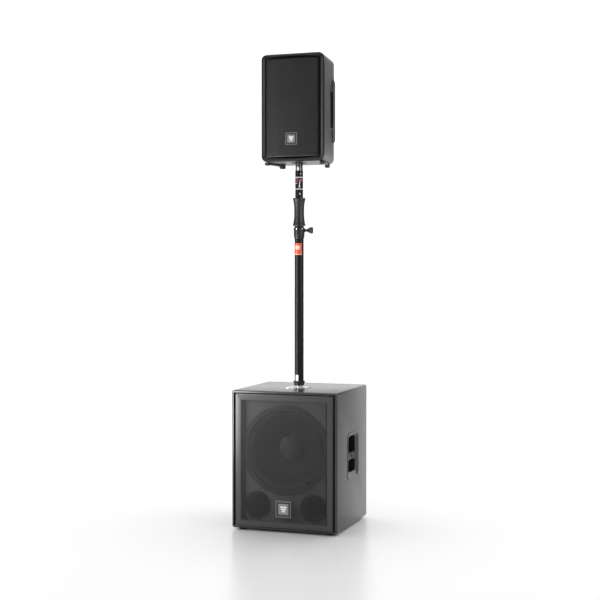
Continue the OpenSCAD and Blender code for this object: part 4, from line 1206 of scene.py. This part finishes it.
def jack_face(bm, bm_pins, point):
    """The front ring, socket and contacts of a combined connector."""
    body_r, hole_r = mm(12, 10.4)
    ring_solid(bm, point, Y, (*around((body_r, 0), (1.4, 0.1), (1.4, 0.9), (0.6, 1.7)),
        *around((hole_r, 0), (0.6, 1.7), (0, 1.0), (0, -20)), (body_r, -20 * MM), (body_r, 0.1 * MM)), 40)
    lathe(bm, point, Y,
        ((0, -16 * MM), (hole_r + 0.1 * MM, -16 * MM), (hole_r + 0.1 * MM, -19 * MM), (0, -19 * MM)), 40)
    for k in range(3):
        a = tau * k / 3 + pi / 2
        at = point + X * (5.2 * MM * cos(a)) + Z * (5.2 * MM * sin(a))
        lathe(bm_pins, at, Y, mm((1.1, -16), (1.1, -6), (0.8, -5.2), (0, -5)), 12)
    block(bm, point + Vector(mm(-3.5, 0, 10.4)), point + Vector(mm(3.5, 1.9, 14.8)))


def knob_piece(name, node, body):
    """A ribbed knob with a pointer line."""
    low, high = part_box(node)
    c = middle(node)
    base = Vector((c.x, high.y - 11.5 * MM, c.z))
    r = (high.x - low.x) / 2
    ribs, per = 18, 4
    loops = []
    for radius, y, relief in ((r, 0, 0), (r, 1.2 * MM, 0), (r - 0.6 * MM, 1.6 * MM, 1),
            (r - 1.0 * MM, 10 * MM, 1), (r - 1.8 * MM, 11 * MM, 0), (r - 3 * MM, 11.4 * MM, 0),
            mm(0.4, 11.1, 0)):
        loop = []
        for i in range(ribs * per):
            a = tau * i / (ribs * per)
            dip = relief * 0.5 * MM * (0.5 - 0.5 * cos(a * ribs))
            loop.append(base + Y * y + X * ((radius - dip) * cos(a)) + Z * ((radius - dip) * sin(a)))
        loops.append(loop)
    bm = bmesh.new()
    sheath(bm, loops)
    lathe(bm, base, Y, mm((3, -9), (3, 0.2)), 24)
    piece(new_object(name, bm), body, "black_plastic", (node,), 50)
    piece(made(name + "_pointer", block, base + Vector(mm(-0.5, 9.5, 2.5)), base + Vector(mm(0.5, 11.5, 7.3))),
        body, "label_white")


def key_piece(name, node, body):
    """A round key with a dished end."""
    low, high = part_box(node)
    c = middle(node)
    r = (high.x - low.x) / 2
    piece(made(name, lathe, Vector((c.x, 0, c.z)), Y, ((r - 0.3 * MM, low.y), (r, low.y + 0.3 * MM),
        *around((r, high.y), (0, -1), (-0.9, 0), (-2.2, -0.5)), (0, high.y - 0.7 * MM)), 32), body,
        "button_grey", (node,))


def rocker_piece(name, node, body, origin):
    """A rocker with a soft edge and a printed dot, tilted to off about its pivot."""
    tilt = Matrix.Rotation(radians(-8), 3, "X")
    outline = ((-9.2, -2), (-9.4, 4.2), (-5, 3.1), (0, 2.4), (5, 3.1), (9.4, 4.2), (9.2, -2), (4, -5.5),
        (-4, -5.5))
    u, v = tilt @ Z, tilt @ Y
    obj = made(name, prism, (origin, u, v, X), [(a * MM, b * MM) for a, b in outline], -5.8 * MM, 5.8 * MM)
    bevel(obj, 0.7 * MM, 3, 30)
    piece(obj, body, "black_plastic", (node,))
    piece(made(name + "_mark", lathe, origin + u * (6.2 * MM) + v * (3.3 * MM), v,
        mm((1.3, -0.6), (1.3, 0.35), (0.9, 0.5), (0, 0.5)), 20), body, "label_white")


def inlet_piece(name, node, body):
    """A mains inlet: a flange with clipped corners, a deep socket, three blades and two screws."""
    low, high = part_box(node)
    c = middle(node)
    front = high.y
    plane = (Vector((c.x, front - 2.5 * MM, c.z)), X, Z, Y)
    w, h = high.x - low.x, high.z - low.z
    piece(made(name, loft, plane, (mm(29.6, 22.6, 3, -23.5), mm(29.6, 22.6, 3, 0),
        *rims(w, h, 0, 0, (0, 6, 0), (0, 6, 1.8), (1, 5.5, 2.4)), mm(27, 20, 3, 2.4), mm(26, 19, 3, 1.6),
        mm(26, 19, 3, -20))), body, "black_plastic", (node,))
    bm = bmesh.new()
    for dx, dz in ((-7, -2), (0, 2), (7, -2)):
        base = Vector((c.x + dx * MM, front - 2.5 * MM, c.z + dz * MM))
        block(bm, base + Vector(mm(-1, -21, -3)), base + Vector(mm(1, -5, 3)))
    piece(new_object(name + "_blades", bm), body, "bare_metal")
    for i, dx in enumerate((-19.5, 19.5)):
        screw_head(f"{name}_screw_{i}", Vector((c.x + dx * MM, front - 0.2 * MM, c.z)), Y, 2.6 * MM, body,
            1.2 * MM)


SUB_JACKS = [*mm((-110, 62), (-70, 62), (-30, 62), (10, 62))]
TOP_JACKS = [*mm((-50, 78), (0, 78), (50, 78))]


def jacks(name, node, plane, places, body):
    bm, bm_pins = bmesh.new(), bmesh.new()
    for at in places:
        jack_face(bm, bm_pins, on_floor(plane, at))
    piece(new_object(name, bm), body, "black_plastic", (node,))
    piece(new_object(name + "_pins", bm_pins), body, "bare_metal")


def lamps(name, plane, places, body):
    bm = bmesh.new()
    for at in places:
        base = on_floor(plane, at)
        lathe(bm, base, Y, mm((1.5, -1), (1.5, 0.8), (1.1, 1.5), (0, 1.8)), 16)
    piece(new_object(name, bm), body, "lamp_green")


def ring_marks(bm, point, r, count=11):
    """Small ticks round a knob, from end to end of its turn."""
    for k in range(count):
        a = radians(225 - 270 * k / (count - 1))
        out = X * cos(a) + Z * sin(a)
        side = Y.cross(out)
        prism(bm, (point + out * (r + 2.6 * MM), out, side, Y),
            mm((-1.1, -0.3), (1.1, -0.3), (1.1, 0.3), (-1.1, 0.3)), -0.05 * MM, 0.12 * MM)


def frame_lines(bm, plane, centre, size):
    """A thin printed outline round a group of controls."""
    line = 0.6 * MM
    point = on_floor(plane, centre)
    w, h = size
    loft(bm, (point, X, Z, Y), (*rims(w, h, 0, 0, (0, 4, -0.05), (0, 4, 0.12)),
        *rims(w - 2 * line, h - 2 * line, 0, 0, (0, 3.4, 0.12), (0, 3.4, -0.05)), (w, h, 4 * MM, -0.05 * MM)),
        ends=(False, False))


def fins(name, plane, x0, x1, z0, z1, count, body):
    """Upright cooling fins on a tray's floor."""
    pitch = (x1 - x0) / (count - 1)
    bm = bmesh.new()
    for i in range(count):
        base = on_floor(plane, (x0 + pitch * i, 0))
        block(bm, base + Vector((-0.9 * MM, -0.5 * MM, z0)), base + Vector((0.9 * MM, 11 * MM, z1)))
    obj = new_object(name, bm)
    bevel(obj, 0.4 * MM, 2, 40)
    piece(obj, body, "amp_metal")


def tray_screws(name, node, body, replaces=()):
    low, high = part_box(node)
    c = middle(node)
    inset = TRAY_RIM / 2
    places = [(x, z) for x in (low.x + inset, c.x, high.x - inset) for z in (low.z + inset, high.z - inset)]
    places += [(low.x + inset, c.z), (high.x - inset, c.z)]
    for i, (x, z) in enumerate(places):
        head = screw_head(f"{name}_{i}", Vector((x, high.y - 0.1 * MM, z)), Y, 4 * MM, body, 2.2 * MM)
        if replaces and i == 0:
            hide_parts(*replaces)


def rear_panels():
    plane = tray("sub_amp_plate", BODY_SUB, "sub_amp_tray")
    jacks("sub_connectors", "sub_jacks", plane, SUB_JACKS, BODY_SUB)
    knob_piece("sub_level_dial", "sub_level_knob", "sub_level_control")
    key_piece("sub_polarity_cap", "sub_polarity_button", "sub_polarity_key")
    rocker_piece("sub_power_paddle", "sub_power_switch", "sub_power_rocker", on_floor(plane, mm(58, -62)))
    inlet_piece("sub_inlet_socket", "sub_mains_inlet", BODY_SUB)
    lamps("sub_lamps", plane, [*mm((-40, 8), (-28, 8), (-16, 8))], BODY_SUB)
    fins("sub_cooling_fins", plane, 38 * MM, 126 * MM, -30 * MM, 88 * MM, 12, BODY_SUB)
    tray_screws("sub_tray_screw", "sub_amp_plate", BODY_SUB, ("sub_screws",))
    bm = bmesh.new()
    ring_marks(bm, on_floor(plane, mm(-110, 8)), 9 * MM)
    frame_lines(bm, plane, mm(-70, 62), mm(118, 40))
    frame_lines(bm, plane, mm(10, 62), mm(34, 40))
    piece(new_object("sub_panel_print", bm), BODY_SUB, "label_white")
    plane = tray("top_amp_plate", BODY_TOP, "top_amp_tray")
    jacks("top_connectors", "top_jacks", plane, TOP_JACKS, BODY_TOP)
    knob_piece("top_dial_1", "top_level_knob_1", "top_level_control_1")
    knob_piece("top_dial_2", "top_level_knob_2", "top_level_control_2")
    key_piece("top_mode_cap", "top_mode_button", "top_mode_key")
    rocker_piece("top_power_paddle", "top_power_switch", "top_power_rocker", on_floor(plane, mm(-46, -92)))
    inlet_piece("top_inlet_socket", "top_mains_inlet", BODY_TOP)
    lamps("top_lamps", plane, [(38 * MM + 12 * MM * k, 8 * MM) for k in range(3)], BODY_TOP)
    fins("top_cooling_fins", plane, -66 * MM, 66 * MM, -60 * MM, -6 * MM, 16, BODY_TOP)
    tray_screws("top_tray_screw", "top_amp_plate", BODY_TOP)
    bm = bmesh.new()
    for x in (-50 * MM, 0):
        ring_marks(bm, on_floor(plane, (x, 30 * MM)), 9 * MM)
    for at in TOP_JACKS:
        frame_lines(bm, plane, at, mm(34, 40))
    piece(new_object("top_panel_print", bm), BODY_TOP, "label_white")


# ---------- stage, light and camera ----------

def stage():
    """A plain pale floor, and a dark card high behind the right side that only shows as a soft reflection."""
    g = Graph("floor_white")
    tone = g.mix(g.remap(g.noise(0.8, 2), 0.3, 0.7), (0.93, 0.93, 0.93, 1), (0.96, 0.96, 0.96, 1))
    white = g.set(base_color=tone, roughness=0.28, specular_ior_level=0.9)
    reach = 60
    floor = made("floor", block, (-reach, -reach, -0.02), (reach, reach, 0))
    floor.data.materials.append(white)
    card = made("dark_card", block, (0.35, 3.2, 1.85), (2.2, 3.22, 2.8))
    card.data.materials.append(MATERIAL["rubber_black"])
    card.visible_camera = card.visible_shadow = card.visible_diffuse = False
    return floor


def unlit(name, *objects):
    """A group of objects that a lamp leaves out."""
    group = bpy.data.collections.new(name)
    for obj in objects:
        group.objects.link(obj)
    for entry in group.collection_objects:
        entry.light_linking.link_state = "EXCLUDE"
    return group


def area_light(name, place, target, size, power, skips):
    """A soft box that the camera doesn't see, and that doesn't light what is in the collection skips."""
    data = bpy.data.lights.new(name, "AREA")
    data.shape = "RECTANGLE"
    data.size, data.size_y = size
    data.energy = power
    lamp = bpy.data.objects.new(name, data)
    lamp.location = place
    lamp.rotation_euler = (Vector(target) - Vector(place)).to_track_quat("-Z", "Y").to_euler()
    lamp.visible_camera = False
    lamp.light_linking.receiver_collection = skips
    bpy.context.scene.collection.objects.link(lamp)


def lights(floor):
    """A sky that is brighter behind than in front, soft boxes, and a room for the gloss to reflect."""
    world = bpy.data.worlds.new("studio")
    bpy.context.scene.world = world
    world.use_nodes = True
    tree = world.node_tree

    def node(kind, inputs):
        made = tree.nodes.new(kind)
        for key, value in inputs.items():
            if isinstance(value, bpy.types.NodeSocket):
                tree.links.new(value, made.inputs[key])
            else:
                made.inputs[key].default_value = value
        return made.outputs

    def ramp(value, low, high, to_low, to_high):
        return node("ShaderNodeMapRange",
            {"Value": value, "From Min": low, "From Max": high, "To Min": to_low, "To Max": to_high})[0]

    def glow(colour, strength=1.0):
        return node("ShaderNodeBackground", {"Color": colour, "Strength": strength})[0]

    toward = node("ShaderNodeSeparateXYZ", {0: node("ShaderNodeTexCoord", {})["Generated"]})
    shade = ramp(toward["Z"], 0.12, 0.55, 1.3, 0.3)
    for share in (ramp(toward["Y"], -0.7, 0.35, 0.25, 1.0), ramp(toward["X"], -0.95, -0.58, 0.25, 1.0),
            ramp(toward["X"], 0.2, 0.31, 1.0, 0.25)):
        product = tree.nodes.new("ShaderNodeMath")
        product.operation = "MULTIPLY"
        tree.links.new(shade, product.inputs[0])
        tree.links.new(share, product.inputs[1])
        shade = product.outputs[0]
    room = glow(shade)
    sky = glow(ramp(toward["Y"], -1.0, 1.0, 0.2, 2.04))
    white = glow((1, 1, 1, 1), 1.12)
    path = node("ShaderNodeLightPath", {})
    lit = node("ShaderNodeMixShader", {0: path["Is Diffuse Ray"], 1: white, 2: sky})[0]
    both = node("ShaderNodeMixShader", {0: path["Is Glossy Ray"], 1: lit, 2: room})[0]
    tree.links.new(both, tree.nodes["World Output"].inputs["Surface"])
    skips = unlit("unlit_stage", floor)
    key_skips = unlit("unlit_by_keys", floor, bpy.data.objects["top_bezel"])
    area_light("key", (-0.72, -0.8, 0.75), (-0.12, -0.2, 0.5), (0.4, 1.1), 23, key_skips)
    area_light("upper_key", (-0.75, -0.95, 1.75), (-0.05, -0.1, 1.85), (0.4, 0.6), 5, key_skips)
    area_light("edge_strip", (2.5, -1.9, 1.85), (0.1, -0.15, 1.85), (0.4, 0.9), 14, skips)
    area_light("overhead", (0, 0, 4.5), (0, 0, 0), (3, 3), 40, skips)
    area_light("side_window", (3.4, -1.0, 1.9), (0.2, 0, 1.5), (2.2, 2.4), 56, skips)


def camera():
    """The photograph's view: a long lens a little above the middle, turned to the right side."""
    data = bpy.data.cameras.new("camera")
    data.sensor_width = 36
    data.lens = 74.4
    eye = bpy.data.objects.new("camera", data)
    eye.location = (1.797, -5.199, 1.131)
    forward = Vector((-0.3273, 0.9446, -0.0250))
    eye.rotation_euler = forward.to_track_quat("-Z", "Y").to_euler()
    bpy.context.scene.collection.objects.link(eye)
    bpy.context.scene.camera = eye


finish_cad_nodes()
sub_cabinet()
sub_handle(1, "sub_handle_right")
sub_handle(-1, "sub_handle_left")
sub_grille()
foam_strips()
badge("sub_badge", BODY_SUB)
sub_socket()
sub_feet()
sub_ports()
drivers()
pole_ring()
pole_collar()
pole_wing()
pole_grip()
pole_prints()
top_front()
top_rear()
top_grille()
badge("top_badge", BODY_TOP)
top_grips()
top_feet()
top_cup()
top_horn()
rear_panels()
lights(stage())
camera()
bpy.context.scene.view_settings.view_transform = "Standard"
